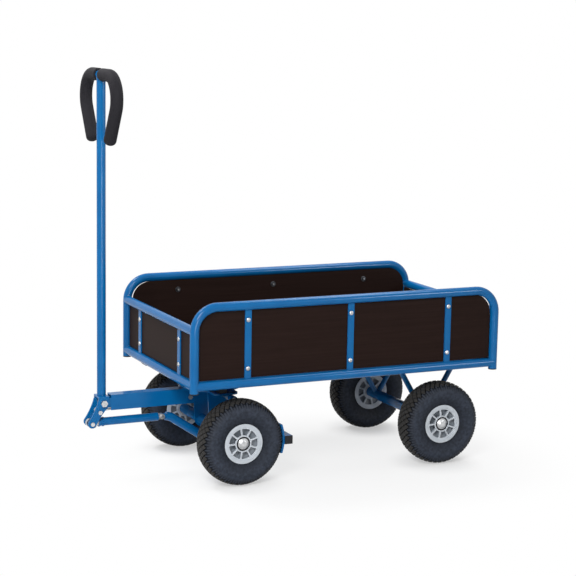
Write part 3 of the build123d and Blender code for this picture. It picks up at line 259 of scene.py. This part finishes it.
def film_faced_plywood(name, thickness_axis, grain_axis):
    """Birch plywood under dark phenolic film: satin brown faces, paler plies along the cut edges."""
    material, tree, shader = start_material("film_faced_plywood_" + name, {"Specular IOR Level": 0.03})
    coordinates = add(tree, "ShaderNodeTexCoord", {})
    stretch = [1 / (5 * MM)] * 3
    stretch[grain_axis] = 1 / (180 * MM)
    along = add(tree, "ShaderNodeMapping", {"Vector": coordinates.outputs["Object"], "Scale": stretch})
    grain = add(tree, "ShaderNodeTexNoise", {"Vector": along.outputs["Vector"], "Scale": 1.0, "Detail": 5.0})
    film = ramp(tree, grain.outputs["Fac"], 0.3, "#221714", 0.75, "#281C19")
    axes = add(tree, "ShaderNodeSeparateXYZ", {"Vector": coordinates.outputs["Object"]})
    normal = add(tree, "ShaderNodeSeparateXYZ", {"Vector": coordinates.outputs["Normal"]})
    # Plies about 1.5 mm thick, so one light and one dark ply every 3 mm.
    phase = add(tree, "ShaderNodeMath", {0: axes.outputs[thickness_axis], 1: 2 * math.pi / (3 * MM)},
                operation="MULTIPLY")
    wave = add(tree, "ShaderNodeMath", {0: phase.outputs[0]}, operation="SINE")
    plies = ramp(tree, wave.outputs[0], 0.0, "#4A3222", 1.0, "#6E4F35")
    facing = add(tree, "ShaderNodeMath", {0: normal.outputs[thickness_axis]}, operation="ABSOLUTE")
    is_face = add(tree, "ShaderNodeMath", {0: facing.outputs[0], 1: 0.7}, operation="GREATER_THAN")
    colour = blend(tree, is_face.outputs[0], plies, film)
    gloss = add(tree, "ShaderNodeMapRange", {"Value": grain.outputs["Fac"], "To Min": 0.42, "To Max": 0.52})
    bump = add(tree, "ShaderNodeBump", {"Height": grain.outputs["Fac"], "Strength": 0.12, "Distance": 0.3 * MM})
    feed(tree, shader, {
        "Base Color": colour, "Roughness": gloss.outputs["Result"], "Normal": bump.outputs["Normal"]})
    return material


def zinc_plated_steel(name, dark, light):
    """Zinc plate on steel: grey metal, slightly cloudy from handling."""
    material, tree, shader = start_material(name, {"Metallic": 1.0})
    place = add(tree, "ShaderNodeTexCoord", {}).outputs["Object"]
    clouds = add(tree, "ShaderNodeTexNoise", {"Vector": place, "Scale": 1 / (6 * MM), "Detail": 4.0})
    tone = ramp(tree, clouds.outputs["Fac"], 0.3, dark, 0.7, light)
    gloss = add(tree, "ShaderNodeMapRange", {"Value": clouds.outputs["Fac"], "To Min": 0.22, "To Max": 0.42})
    feed(tree, shader, {"Base Color": tone, "Roughness": gloss.outputs["Result"]})
    return material


def moulded_tyre_rubber():
    """Vulcanised rubber: bluish dark grey sidewalls, faintly mottled, browner tread, painted shade in the grooves and
    towards the bead.
    """
    material, tree, shader = start_material("moulded_tyre_rubber", {})
    place = add(tree, "ShaderNodeTexCoord", {}).outputs["Object"]
    clouds = add(tree, "ShaderNodeTexNoise", {"Vector": place, "Scale": 1 / (9 * MM), "Detail": 6.0})
    wall = ramp(tree, clouds.outputs["Fac"], 0.3, "#262B34", 0.75, "#3A404D")
    tread = add(tree, "ShaderNodeAttribute", {}, attribute_name="tread")
    colour = blend(tree, tread.outputs["Fac"], wall, srgb("#3B3A39"))
    # Painted shade: the grooves between blocks and lugs, and the wall towards the bead, darken to near black.
    groove_and_bead_shade = add(tree, "ShaderNodeAttribute", {}, attribute_name="groove_and_bead_shade")
    colour_with_painted_shade = blend(tree, groove_and_bead_shade.outputs["Fac"], colour, srgb("#050506"))
    # Tread and grooves shine less than the smooth wall.
    rough = add(tree, "ShaderNodeMath", {0: tread.outputs["Fac"], 1: groove_and_bead_shade.outputs["Fac"]}, operation="MAXIMUM")
    sheen = add(tree, "ShaderNodeMapRange", {"Value": rough.outputs[0], "To Min": 0.12, "To Max": 0.05})
    # Grain of the mould about 0.5 mm across, drawn at 2 mm so that it shows.
    grit = add(tree, "ShaderNodeTexNoise", {"Vector": place, "Scale": 1 / (2 * MM), "Detail": 2.0})
    gloss = add(tree, "ShaderNodeMapRange", {"Value": clouds.outputs["Fac"], "To Min": 0.45, "To Max": 0.65})
    bump = add(tree, "ShaderNodeBump", {"Height": grit.outputs["Fac"], "Strength": 0.25, "Distance": 0.3 * MM})
    feed(tree, shader, {
        "Base Color": colour_with_painted_shade, "Specular IOR Level": sheen.outputs["Result"], "Roughness": gloss.outputs["Result"],
        "Normal": bump.outputs["Normal"]})
    return material


def moulded_polypropylene():
    """Light grey polypropylene rim: satin from the mould, faintly uneven, with shade painted darker into its
    recesses.
    """
    material, tree, shader = start_material("moulded_polypropylene", {"Specular IOR Level": 0.35})
    place = add(tree, "ShaderNodeTexCoord", {}).outputs["Object"]
    clouds = add(tree, "ShaderNodeTexNoise", {"Vector": place, "Scale": 1 / (20 * MM), "Detail": 3.0})
    tone = ramp(tree, clouds.outputs["Fac"], 0.3, "#BCC3CA", 0.7, "#C7CDD4")
    # Painted shade: faces sunk towards the wheel's middle plane, inside the windows, turn darker grey.
    axes = add(tree, "ShaderNodeSeparateXYZ", {"Vector": place})
    across = add(tree, "ShaderNodeMath", {0: axes.outputs["Y"]}, operation="ABSOLUTE")
    off_middle = add(tree, "ShaderNodeMath", {0: across.outputs[0], 1: WHEEL_Y}, operation="SUBTRACT")
    from_middle = add(tree, "ShaderNodeMath", {0: off_middle.outputs[0]}, operation="ABSOLUTE")
    recess = add(tree, "ShaderNodeMapRange", {
        "Value": from_middle.outputs[0], "From Min": RECESS_Y, "From Max": RIM_FACE_Y, "To Min": 1.0, "To Max": 0.0})
    recess_painted_shade = blend(tree, recess.outputs["Result"], tone, srgb("#868D95"))
    grit = add(tree, "ShaderNodeTexNoise", {"Vector": place, "Scale": 1 / (1.2 * MM), "Detail": 1.0})
    bump = add(tree, "ShaderNodeBump", {"Height": grit.outputs["Fac"], "Strength": 0.08, "Distance": 0.1 * MM})
    gloss = add(tree, "ShaderNodeMapRange", {"Value": clouds.outputs["Fac"], "To Min": 0.38, "To Max": 0.5})
    feed(tree, shader, {
        "Base Color": recess_painted_shade, "Roughness": gloss.outputs["Result"], "Normal": bump.outputs["Normal"]})
    return material


def rubber_foam():
    """Closed-cell rubber foam: near black, matt, with the fine pores of its skin."""
    material, tree, shader = start_material("rubber_foam", {"Specular IOR Level": 0.1})
    place = add(tree, "ShaderNodeTexCoord", {}).outputs["Object"]
    # Pores are about 0.3 mm; 1.6 mm shows at this picture's size.
    pores = add(tree, "ShaderNodeTexNoise", {"Vector": place, "Scale": 1 / (1.6 * MM), "Detail": 3.0})
    tone = ramp(tree, pores.outputs["Fac"], 0.35, "#1F1E22", 0.7, "#2B2A2E")
    bump = add(tree, "ShaderNodeBump", {"Height": pores.outputs["Fac"], "Strength": 0.35, "Distance": 0.3 * MM})
    gloss = add(tree, "ShaderNodeMapRange", {"Value": pores.outputs["Fac"], "To Min": 0.62, "To Max": 0.85})
    feed(tree, shader, {"Base Color": tone, "Roughness": gloss.outputs["Result"], "Normal": bump.outputs["Normal"]})
    return material


def black_moulding(name, gloss_low, gloss_high):
    """Black polyethylene or lacquer: dark, with slightly uneven gloss."""
    material, tree, shader = start_material(name, {"Specular IOR Level": 0.2})
    place = add(tree, "ShaderNodeTexCoord", {}).outputs["Object"]
    clouds = add(tree, "ShaderNodeTexNoise", {"Vector": place, "Scale": 1 / (5 * MM), "Detail": 3.0})
    tone = ramp(tree, clouds.outputs["Fac"], 0.0, "#161618", 1.0, "#222225")
    gloss = add(tree, "ShaderNodeMapRange",
                {"Value": clouds.outputs["Fac"], "To Min": gloss_low, "To Max": gloss_high})
    feed(tree, shader, {"Base Color": tone, "Roughness": gloss.outputs["Result"]})
    return material


FINISH = {
    "blue_paint": powder_coated_steel(),
    "zinc_steel": zinc_plated_steel("bright_zinc_plated_steel", "#A8AAAC", "#CBCCCD"),
    "tyre_rubber": moulded_tyre_rubber(),
    "rim_plastic": moulded_polypropylene(),
    "grip_foam": rubber_foam(),
    "black_plastic": black_moulding("black_polyethylene", 0.4, 0.6),
    "black_paint": black_moulding("black_lacquered_steel", 0.2, 0.35),
}
# Painted shade: the nuts inside the bed get a darker copy of the zinc, standing in for the shade they sit in.
NUT_FINISH = zinc_plated_steel("shaded_zinc_plated_steel", "#4A4C50", "#626468")
PANELS = {
    "side_panels": film_faced_plywood("sides", 1, 0),
    "end_panels": film_faced_plywood("ends", 0, 1),
    "floor_panel": film_faced_plywood("floor", 2, 0),
}


def finish_solids():
    """Give every node of the frame the finish of its slot."""
    for part in frame["record"]["subparts"]:
        node = frame["nodes"][part["node"]]
        finish = PANELS.get(part["node"]) or FINISH[part["material_slot"]]
        for slot in node.material_slots:
            slot.material = finish


# Mesh building
def skin(bm, rings, loop=False):
    """Join rings of points with faces; a ring of one point closes an end, loop joins last to first."""
    rows = [[bm.verts.new(point) for point in ring] for ring in rings]
    pairs = list(zip(rows, rows[1:]))
    if loop:
        pairs.append((rows[-1], rows[0]))
    for low, high in pairs:
        for i in range(max(len(low), len(high))):
            corners = [low[i % len(low)], low[(i + 1) % len(low)], high[(i + 1) % len(high)], high[i % len(high)]]
            bm.faces.new(dict.fromkeys(corners))


def piece(name, bm, smooth_angle):
    """A new object from a bmesh, with its faces outwards and edges sharp past an angle."""
    bmesh.ops.recalc_face_normals(bm, faces=bm.faces)
    mesh = bpy.data.meshes.new(name)
    bm.to_mesh(mesh)
    bm.free()
    mesh.shade_smooth()
    mesh.set_sharp_from_angle(angle=math.radians(smooth_angle))
    made = bpy.data.objects.new(name, mesh)
    bpy.context.scene.collection.objects.link(made)
    return made


def circle(radius, height, count):
    """Ring of points round Z."""
    turns = [2 * math.pi * i / count for i in range(count)]
    return [Vector((radius * math.cos(t), radius * math.sin(t), height)) for t in turns]


def hexagon(flat, height, count):
    """Ring of points on a hexagon of the given half width across flats."""
    points = []
    for i in range(count):
        turn = 2 * math.pi * i / count
        to_flat = (turn + math.pi / 6) % (math.pi / 3) - math.pi / 6
        radius = flat / math.cos(to_flat)
        points.append(Vector((radius * math.cos(turn), radius * math.sin(turn), height)))
    return points


def baked(source, name, mesh_move):
    """The evaluated mesh of an object with Geometry Nodes as a plain object, moved into place."""
    evaluated = source.evaluated_get(bpy.context.evaluated_depsgraph_get())
    mesh = bpy.data.meshes.new_from_object(evaluated)
    mesh.transform(mesh_move)
    made = bpy.data.objects.new(name, mesh)
    bpy.context.scene.collection.objects.link(made)
    return made


def run_tree(carrier, tree, values):
    """Put a Geometry Nodes tree on an object, with its named inputs set."""
    modifier = carrier.modifiers.new(tree.name, "NODES")
    modifier.node_group = tree
    for item in tree.interface.items_tree:
        if item.in_out == "INPUT" and item.name in values:
            modifier[item.identifier] = values[item.name]
    return modifier


def new_tree(name, inputs):
    """An empty Geometry Nodes tree with a geometry input and output and further named inputs."""
    tree = bpy.data.node_groups.new(name, "GeometryNodeTree")
    tree.interface.new_socket("Geometry", in_out="INPUT", socket_type="NodeSocketGeometry")
    for label, kind in inputs.items():
        tree.interface.new_socket(label, in_out="INPUT", socket_type=kind)
    tree.interface.new_socket("Geometry", in_out="OUTPUT", socket_type="NodeSocketGeometry")
    given = add(tree, "NodeGroupInput", {}).outputs
    return tree, given


# Tyres
SECTION = (
    ((0, TYRE_R), (CROWN_HALF / 2, TYRE_R - CROWN_DROP / 4), (CROWN_HALF, TYRE_R - CROWN_DROP)),
    ((CROWN_HALF, TYRE_R - CROWN_DROP), SHOULDER_MID, (TYRE_HALF, SIDE_R)),
    ((TYRE_HALF, SIDE_R), WALL_MID, (CROWN_HALF, BEAD_R)),
)


def section_point(u):
    """Point of half a tyre section as y and radius: crown 0 to 1, shoulder 1 to 2, sidewall 2 to 3."""
    stretch = min(int(u), len(SECTION) - 1)
    t = u - stretch
    weights = ((1 - t) * (1 - 2 * t), 4 * t * (1 - t), t * (2 * t - 1))
    return sum((Vector(p) * w for p, w in zip(SECTION[stretch], weights)), Vector((0, 0)))


def tyre_point(u, depth, side, turn):
    """Point at a depth under the tyre's surface, on one side, at a turn round the axle."""
    step = 1e-3
    run = section_point(u + step) - section_point(max(u - step, 0))
    outward = Vector((-run.y, run.x)).normalized()
    y, radius = section_point(u) - outward * depth
    return Vector((radius * math.sin(turn), side * y, radius * math.cos(turn)))


def carcass_depth(u):
    """How far the carcass lies under the tread: full on the crown, fading down the shoulder."""
    fade = min(max(1 - (u - 1) / LUG_END, 0), 1)
    rib = BEAD_RIB * max(0, 1 - abs(u - BEAD_RIB_AT) / BEAD_RIB_HALF)
    return TREAD_DEPTH * fade - rib


def carcass_darkness(u):
    """Share of painted shade: between the blocks and lugs, and towards the bead."""
    return max(min(1 - (u - 1) / GROOVE_END, 1), BEAD_DARK * (u - BEAD_DARK_FROM), 0)


def tyre_carcass():
    """The tyre's ring under its tread, with the painted shade of each point."""
    count = 112
    stations = [i / 8 for i in range(8)] + [1 + i / 12 for i in range(12)] + [2 + i / 22 for i in range(23)]
    turns = [2 * math.pi * i / count for i in range(count)]
    rings = []
    darkness = []
    for side, order in ((-1, reversed(stations[1:])), (1, stations)):
        for u in order:
            rings.append([tyre_point(u, carcass_depth(u), side, turn) for turn in turns])
            darkness += [carcass_darkness(u)] * count
    bm = bmesh.new()
    skin(bm, rings, loop=True)
    carcass = piece("tyre_carcass", bm, 50)
    carcass.data.attributes.new("groove_and_bead_shade", "FLOAT", "POINT").data.foreach_set("value", darkness)
    return carcass


def tread_block(bm, turn, y):
    """One diamond of tread: sloped sides, a small bevel and a crowned top."""
    pitch = math.pi * TYRE_R / TREAD_PITCHES
    across = pitch * COLUMN_STEP / math.hypot(pitch, COLUMN_STEP)
    full = 1 - GROOVE / 2 / across

    def point(scale, depth, along, sideways):
        """Point of the diamond at a scale, a depth and shares of its two diagonals."""
        place = y + sideways * scale * COLUMN_STEP
        side = math.copysign(1, place)
        return tyre_point(abs(place) / CROWN_HALF, depth, side, turn + along * scale * math.pi / TREAD_PITCHES)

    rings = []
    for scale, depth in ((full + BLOCK_FLARE, TREAD_DEPTH + TREAD_SINK), (full, TREAD_EDGE), (full - BLOCK_BEVEL, 0)):
        rings.append([point(scale, depth, *way) for way in ((1, 0), (0, 1), (-1, 0), (0, -1))])
    skin(bm, [*rings, [point(0, 0, 0, 0)]])


def shoulder_lug(bm, turn, side, start):
    """Rib that runs from the crown's edge down the shoulder and fades out."""
    rings = []
    stations = 6
    for i in range(stations):
        u = start + (1 + LUG_END - start) * i / (stations - 1)
        foot = carcass_depth(u) + TREAD_SINK
        wide = LUG_WIDTH / 2 / TYRE_R
        rings.append([
            tyre_point(u, depth, side, turn + share * wide)
            for share, depth in ((-LUG_FOOT, foot), (-LUG_TOP, LUG_SINK), (LUG_TOP, LUG_SINK), (LUG_FOOT, foot))
        ])
    first = sum(rings[0], Vector()) / 4
    last = sum(rings[-1], Vector()) / 4
    skin(bm, [[first], *rings, [last]])


def tread_slice():
    """All tread within one pitch of the circumference."""
    bm = bmesh.new()
    pitch = 2 * math.pi / TREAD_PITCHES
    for column in range(TREAD_COLUMNS):
        y = (column - (TREAD_COLUMNS - 1) / 2) * COLUMN_STEP
        tread_block(bm, pitch / 2 * (column % 2), y)
    tone = bm.verts.layers.float.new("tread")
    for corner in bm.verts:
        corner[tone] = 1.0
    blocks = len(bm.verts)
    for side in (-1, 1):
        for i, start in enumerate(LUG_STARTS):
            shoulder_lug(bm, i * pitch / 2, side, start)
    for corner in list(bm.verts)[blocks:]:
        corner[tone] = LUG_TONE
    return piece("tread_slice", bm, 30)


def tread_tree():
    """Geometry Nodes: a slice of tread repeated round the axle and joined to the carcass."""
    tree, given = new_tree("tread_round_axle", {
        "Slice": "NodeSocketObject", "Pitches": "NodeSocketInt", "Rubber": "NodeSocketMaterial"})
    part = add(tree, "GeometryNodeObjectInfo", {"Object": given["Slice"], "As Instance": True})
    points = add(tree, "GeometryNodePoints", {"Count": given["Pitches"]})
    index = add(tree, "GeometryNodeInputIndex", {})
    share = add(tree, "ShaderNodeMath", {0: index.outputs[0], 1: given["Pitches"]}, operation="DIVIDE")
    turn = add(tree, "ShaderNodeMath", {0: share.outputs[0], 1: 2 * math.pi}, operation="MULTIPLY")
    euler = add(tree, "ShaderNodeCombineXYZ", {"Y": turn.outputs[0]})
    rotation = add(tree, "FunctionNodeEulerToRotation", {"Euler": euler.outputs[0]})
    ring = add(tree, "GeometryNodeInstanceOnPoints", {
        "Points": points.outputs[0], "Instance": part.outputs["Geometry"], "Rotation": rotation.outputs[0]})
    blocks = add(tree, "GeometryNodeRealizeInstances", {"Geometry": ring.outputs[0]})
    whole = add(tree, "GeometryNodeJoinGeometry", {"Geometry": given["Geometry"]})
    tree.links.new(blocks.outputs[0], whole.inputs[0])
    plain = add(tree, "GeometryNodeRealizeInstances", {"Geometry": whole.outputs[0]})
    rubber = add(tree, "GeometryNodeSetMaterial", {"Geometry": plain.outputs[0], "Material": given["Rubber"]})
    add(tree, "NodeGroupOutput", {0: rubber.outputs[0]})
    return tree


def build_tyres():
    """A treaded tyre in the place of each plain one."""
    carcass = tyre_carcass()
    slice_of_tread = tread_slice()
    run_tree(carcass, tread_tree(), {
        "Slice": slice_of_tread, "Pitches": TREAD_PITCHES, "Rubber": FINISH["tyre_rubber"]})
    for corner in CORNERS:
        tyre = baked(carcass, corner + "_treaded_tyre", Matrix.Translation(middle(corner + "_tyre")))
        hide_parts(corner + "_tyre")
        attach(tyre, corner + "_wheel")
    bpy.data.objects.remove(carcass)
    bpy.data.objects.remove(slice_of_tread)


def build_hub_seals():
    """Black ring in the well between each push cap and the wheel's disc; it also stands in for the shade in the well.
    """
    for corner in CORNERS:
        outward = math.copysign(1, middle(corner + "_tyre").y)
        profile = ((SEAL_INNER_R, 0), (SEAL_OUTER_R, 0), (SEAL_OUTER_R, SEAL_WALL), (SEAL_OUTER_R - SEAL_BEVEL, 1),
                   (SEAL_INNER_R, 1))
        rings = [circle(radius, HUB_HALF + share * SEAL_THICK, 64) for radius, share in profile]
        bm = bmesh.new()
        skin(bm, rings, loop=True)
        turn = Matrix.Rotation(-outward * math.pi / 2, 4, "X")
        bm.transform(Matrix.Translation(middle(corner + "_tyre")) @ turn)
        seal = piece(corner + "_hub_seal", bm, 40)
        seal.data.materials.append(FINISH["black_plastic"])
        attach(seal, corner + "_wheel")


# Screws and nuts
def screw_places():
    """Places on the bars' middle planes, each with the direction that points out of the bed."""
    low = BOTTOM_RAIL_Z + SCREW_INSET
    places = []
    for step in (-1, 0, 1):
        for side in (-1, 1):
            for z in (low, TOP_RAIL_Z - SCREW_INSET):
                places.append((Vector((BED_X + step * SIDE_BAR_PITCH, side * SIDE_Y, z)), Vector((0, side, 0))))
    for end in (-1, 1):
        for side in (-1, 1):
            for z in (low, END_RAIL_Z - SCREW_INSET):
                places.append((Vector((BED_X + end * END_X, side * END_BAR_Y, z)), Vector((end, 0, 0))))
    return places


def button_screw():
    """Button-head screw with a hexagon socket; Z points out of the bed from the bar's middle."""
    count = 24
    seat = BAR_THICK / 2
    tip = -BAR_THICK / 2 - PANEL_THICK - WASHER_THICK - NUT_H
    rings = [[Vector((0, 0, tip))], circle(SCREW_TIP_R, tip, count), circle(SCREW_R, tip + SCREW_TIP_H, count),
             circle(SCREW_R, seat, count), circle(SCREW_HEAD_R, seat, count)]
    for angle in map(math.radians, DOME_ANGLES):
        height = SCREW_HEAD_H * math.sin(angle) / DOME_FLATTEN
        rings.append(circle(SCREW_HEAD_R * math.cos(angle), seat + height, count))
    top = rings[-1][0].z
    rings += [hexagon(SOCKET_FLAT, top, count), hexagon(SOCKET_FLAT, top - SOCKET_DEPTH, count),
              [Vector((0, 0, top - SOCKET_DEPTH))]]
    bm = bmesh.new()
    skin(bm, rings)
    return piece("button_screw", bm, 35)


def nut_and_washer():
    """Flat washer and hexagon nut on the panel's inner face; Z points out of the bed."""
    count = 24
    face = -BAR_THICK / 2 - PANEL_THICK
    bore = SCREW_R + NUT_GAP
    seat = face - WASHER_THICK
    top = seat - NUT_H
    bm = bmesh.new()
    skin(bm, [circle(bore, face, count), circle(WASHER_R, face, count),
              circle(WASHER_R, seat + WASHER_EDGE, count), circle(WASHER_R - WASHER_EDGE, seat, count),
              circle(bore, seat, count)], loop=True)
    skin(bm, [circle(bore, seat, count), hexagon(NUT_FLAT, seat, count),
              hexagon(NUT_FLAT, top + NUT_CHAMFER, count), circle(NUT_FLAT * NUT_FACE, top, count),
              circle(bore, top, count)], loop=True)
    return piece("nut_and_washer", bm, 35)


def fastener_tree():
    """Geometry Nodes: one fastener on each point, turned to the point's own direction."""
    tree, given = new_tree("fasteners_on_points", {"Fastener": "NodeSocketObject", "Metal": "NodeSocketMaterial"})
    part = add(tree, "GeometryNodeObjectInfo", {"Object": given["Fastener"], "As Instance": True})
    facing = add(tree, "GeometryNodeInputNamedAttribute", {"Name": "facing"}, data_type="FLOAT_VECTOR")
    turn = add(tree, "FunctionNodeAlignRotationToVector", {"Vector": facing.outputs[0]}, axis="Z")
    placed = add(tree, "GeometryNodeInstanceOnPoints", {
        "Points": given["Geometry"], "Instance": part.outputs["Geometry"], "Rotation": turn.outputs[0]})
    plain = add(tree, "GeometryNodeRealizeInstances", {"Geometry": placed.outputs[0]})
    metal = add(tree, "GeometryNodeSetMaterial", {"Geometry": plain.outputs[0], "Material": given["Metal"]})
    add(tree, "NodeGroupOutput", {0: metal.outputs[0]})
    return tree


def build_fasteners():
    """Screws and nuts in the places of the plain ones."""
    places = screw_places()
    tree = fastener_tree()
    for name, node, part, metal in (
        ("button_screws", "panel_bolts", button_screw(), FINISH["zinc_steel"]),
        ("nuts_and_washers", "panel_nuts", nut_and_washer(), NUT_FINISH),
    ):
        mesh = bpy.data.meshes.new(name + "_places")
        mesh.from_pydata([place for place, _ in places], [], [])
        facing = mesh.attributes.new("facing", "FLOAT_VECTOR", "POINT")
        for i, (_, outward) in enumerate(places):
            facing.data[i].vector = outward
        carrier = bpy.data.objects.new(name + "_places", mesh)
        bpy.context.scene.collection.objects.link(carrier)
        run_tree(carrier, tree, {"Fastener": part, "Metal": metal})
        made = baked(carrier, name, Matrix.Identity(4))
        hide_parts(node)
        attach(made, "cart")
        bpy.data.objects.remove(carrier)
        bpy.data.objects.remove(part)


# Grips
def bow_line():
    """Start, corner and end of half the bow's centre line, as y and z."""
    top = Vector((GRIP_START_Y, HANDLE_TOP_Z))
    corner = Vector((BOW_CORNER_Y, HANDLE_TOP_Z))
    end = Vector((BOW_END_Y, HANDLE_TOP_Z - BOW_DROP))
    return top, corner, end


def bow_point(distance):
    """Point and direction on the bow at a distance along the grip, as y and z."""
    top, corner, end = bow_line()
    first = (corner - top).normalized()
    second = (end - corner).normalized()
    turn = first.angle(second)
    tangent = BEND_R * math.tan(turn / 2)
    straight = (corner - top).length - tangent
    bend = BEND_R * turn
    if distance < straight:
        return top + first * distance, first
    if distance > straight + bend:
        return corner + second * (tangent + distance - straight - bend), second
    angle = (distance - straight) / BEND_R
    centre = corner - first * tangent + Vector((0, -BEND_R))
    return centre + BEND_R * Vector((math.sin(angle), math.cos(angle))), Vector((math.cos(angle), -math.sin(angle)))


def bow_length():
    """Length of half the bow's centre line from the grip's start to the tube's end."""
    top, corner, end = bow_line()
    turn = (corner - top).angle(end - corner)
    saved = 2 * BEND_R * math.tan(turn / 2) - BEND_R * turn
    return (corner - top).length + (end - corner).length - saved


def build_grips():
    """Foam sleeves over both halves of the bow, open at the drawbar and rounded at the lower end."""
    count = 48
    length = bow_length()
    close = length + GRIP_R
    outer = [(0, BOW_R + GRIP_GAP), (0, GRIP_R - GRIP_EDGE), (GRIP_EDGE_MID, GRIP_R - GRIP_EDGE_MID),
             (GRIP_EDGE, GRIP_R)]
    body = close - GRIP_END_ROUND
    outer += [(GRIP_EDGE + (body - GRIP_EDGE) * i / 60, GRIP_R) for i in range(1, 61)]
    for i in range(1, 9):
        angle = math.pi / 2 * i / 8
        outer.append((body + GRIP_END_ROUND * math.sin(angle), GRIP_R - GRIP_END_ROUND * (1 - math.cos(angle))))
    bore = [(length * i / 30, BOW_R + GRIP_GAP) for i in range(30, 0, -1)]
    for name, side, node in (("foam_grip_left", -1, "grip_left"), ("foam_grip_right", 1, "grip_right")):

        def spot(distance, radius, turn):
            """Point at a distance along the bow, a radius and a turn round it."""
            (y, z), (run_y, run_z) = bow_point(distance)
            out = radius * math.sin(turn)
            return Vector((HANDLE_X + radius * math.cos(turn), side * (y + out * run_z), z - out * run_y))

        turns = [2 * math.pi * i / count for i in range(count)]
        rings = [[spot(length, 0, 0)]]
        rings += [[spot(distance, radius, turn) for turn in turns] for distance, radius in [*bore, *outer]]
        rings.append([spot(close, 0, 0)])
        bm = bmesh.new()
        skin(bm, rings)
        grip = piece(name, bm, 60)
        grip.data.materials.append(FINISH["grip_foam"])
        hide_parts(node)
        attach(grip, "drawbar")


# Stage, light and camera
def white_to_camera(tree, share):
    """Factor that is a share for rays from the eye, seen directly or in gloss, and none for light."""
    path = add(tree, "ShaderNodeLightPath", {})
    seen = add(tree, "ShaderNodeMath", {0: path.outputs["Is Camera Ray"], 1: path.outputs["Is Glossy Ray"]},
               operation="MAXIMUM")
    through = add(tree, "ShaderNodeMath", {0: seen.outputs[0], 1: path.outputs["Is Transmission Ray"]},
                  operation="MAXIMUM")
    return add(tree, "ShaderNodeMath", {0: through.outputs[0], 1: share}, operation="MULTIPLY").outputs[0]


def build_floor():
    """White floor that keeps the cart's shadow and turns into the white backdrop further out."""
    bm = bmesh.new()
    bmesh.ops.create_grid(bm, x_segments=1, y_segments=1, size=FLOOR_HALF)
    floor = piece("studio_floor", bm, 30)
    material = bpy.data.materials.new("white_studio_floor")
    material.use_nodes = True
    tree = material.node_tree
    tree.nodes.clear()
    paper = add(tree, "ShaderNodeBsdfDiffuse", {"Color": srgb("#F6F6F6")})
    glow = add(tree, "ShaderNodeEmission", {"Color": (1, 1, 1, 1), "Strength": 1.0})
    place = add(tree, "ShaderNodeTexCoord", {}).outputs["Object"]
    spread = add(tree, "ShaderNodeVectorMath", {0: place, 1: FLOOR_MIDDLE}, operation="SUBTRACT")
    shape = add(tree, "ShaderNodeVectorMath", {0: spread.outputs[0], 1: FLOOR_SHADE}, operation="DIVIDE")
    away = add(tree, "ShaderNodeVectorMath", {0: shape.outputs[0]}, operation="LENGTH")
    share = add(tree, "ShaderNodeMapRange", {
        "Value": away.outputs["Value"], "From Min": SHADE_FADE[0], "From Max": SHADE_FADE[1],
        "To Min": SHADE_WHITE[0], "To Max": SHADE_WHITE[1]},
        interpolation_type="SMOOTHSTEP")
    # One distance, mirrored in both directions, finds the nearest wheel.
    centred = add(tree, "ShaderNodeVectorMath",
                  {0: place, 1: ((FRONT_AXLE_X + REAR_AXLE_X) / 2, 0.0, 0.0)}, operation="SUBTRACT")
    folded = add(tree, "ShaderNodeVectorMath", {0: centred.outputs[0]}, operation="ABSOLUTE")
    to_wheel = add(tree, "ShaderNodeVectorMath",
                   {0: folded.outputs[0], 1: ((REAR_AXLE_X - FRONT_AXLE_X) / 2, WHEEL_Y, 0.0)}, operation="DISTANCE")
    near = add(tree, "ShaderNodeMapRange", {
        "Value": to_wheel.outputs["Value"], "From Min": PATCH_FADE[0], "From Max": PATCH_FADE[1],
        "To Min": PATCH_WHITE[0], "To Max": PATCH_WHITE[1]},
        interpolation_type="SMOOTHSTEP")
    both = add(tree, "ShaderNodeMath", {0: share.outputs["Result"], 1: near.outputs["Result"]}, operation="MULTIPLY")
    white = white_to_camera(tree, both.outputs[0])
    mixed = add(tree, "ShaderNodeMixShader", {0: white, 1: paper.outputs[0], 2: glow.outputs[0]})
    add(tree, "ShaderNodeOutputMaterial", {"Surface": mixed.outputs[0]})
    floor.data.materials.append(material)


def build_light():
    """Even pale surroundings and the lamps."""
    world = bpy.data.worlds.new("studio")
    world.use_nodes = True
    bpy.context.scene.world = world
    tree = world.node_tree
    tree.nodes.clear()
    room = add(tree, "ShaderNodeBackground", {"Color": (1, 1, 1, 1), "Strength": AMBIENT})
    white = add(tree, "ShaderNodeBackground", {"Color": (1, 1, 1, 1), "Strength": 1.0})
    mixed = add(tree, "ShaderNodeMixShader", {0: white_to_camera(tree, 1.0), 1: room.outputs[0], 2: white.outputs[0]})
    add(tree, "ShaderNodeOutputWorld", {"Surface": mixed.outputs[0]})
    for name, (x, y, z), width, height, watts, on_matt in LAMPS:
        place = Vector((BED_X + x, y, z))
        lamp = bpy.data.lights.new(name, "AREA")
        lamp.shape = "RECTANGLE"
        lamp.size = width
        lamp.size_y = height
        lamp.energy = watts
        made = bpy.data.objects.new(name, lamp)
        made.location = place
        made.visible_diffuse = on_matt
        made.rotation_euler = (VIEW_AIM - place).to_track_quat("-Z", "Y").to_euler()
        bpy.context.scene.collection.objects.link(made)


def build_camera():
    """Camera at the photograph's place."""
    back = Vector((
        math.sin(VIEW_YAW) * math.cos(VIEW_PITCH),
        -math.cos(VIEW_YAW) * math.cos(VIEW_PITCH),
        math.sin(VIEW_PITCH),
    ))
    facing = back.to_track_quat("Z", "Y").to_matrix().to_4x4()
    camera = bpy.data.cameras.new("camera")
    camera.lens = LENS
    camera.sensor_width = SENSOR
    made = bpy.data.objects.new("camera", camera)
    made.matrix_world = (Matrix.Translation(VIEW_AIM + back * VIEW_DISTANCE) @ facing
                         @ Matrix.Rotation(VIEW_ROLL, 4, "Z"))
    bpy.context.scene.collection.objects.link(made)
    bpy.context.scene.camera = made


finish_solids()
build_tyres()
build_hub_seals()
build_fasteners()
build_grips()
build_floor()
build_light()
build_camera()
bpy.context.scene.view_settings.view_transform = "Standard"
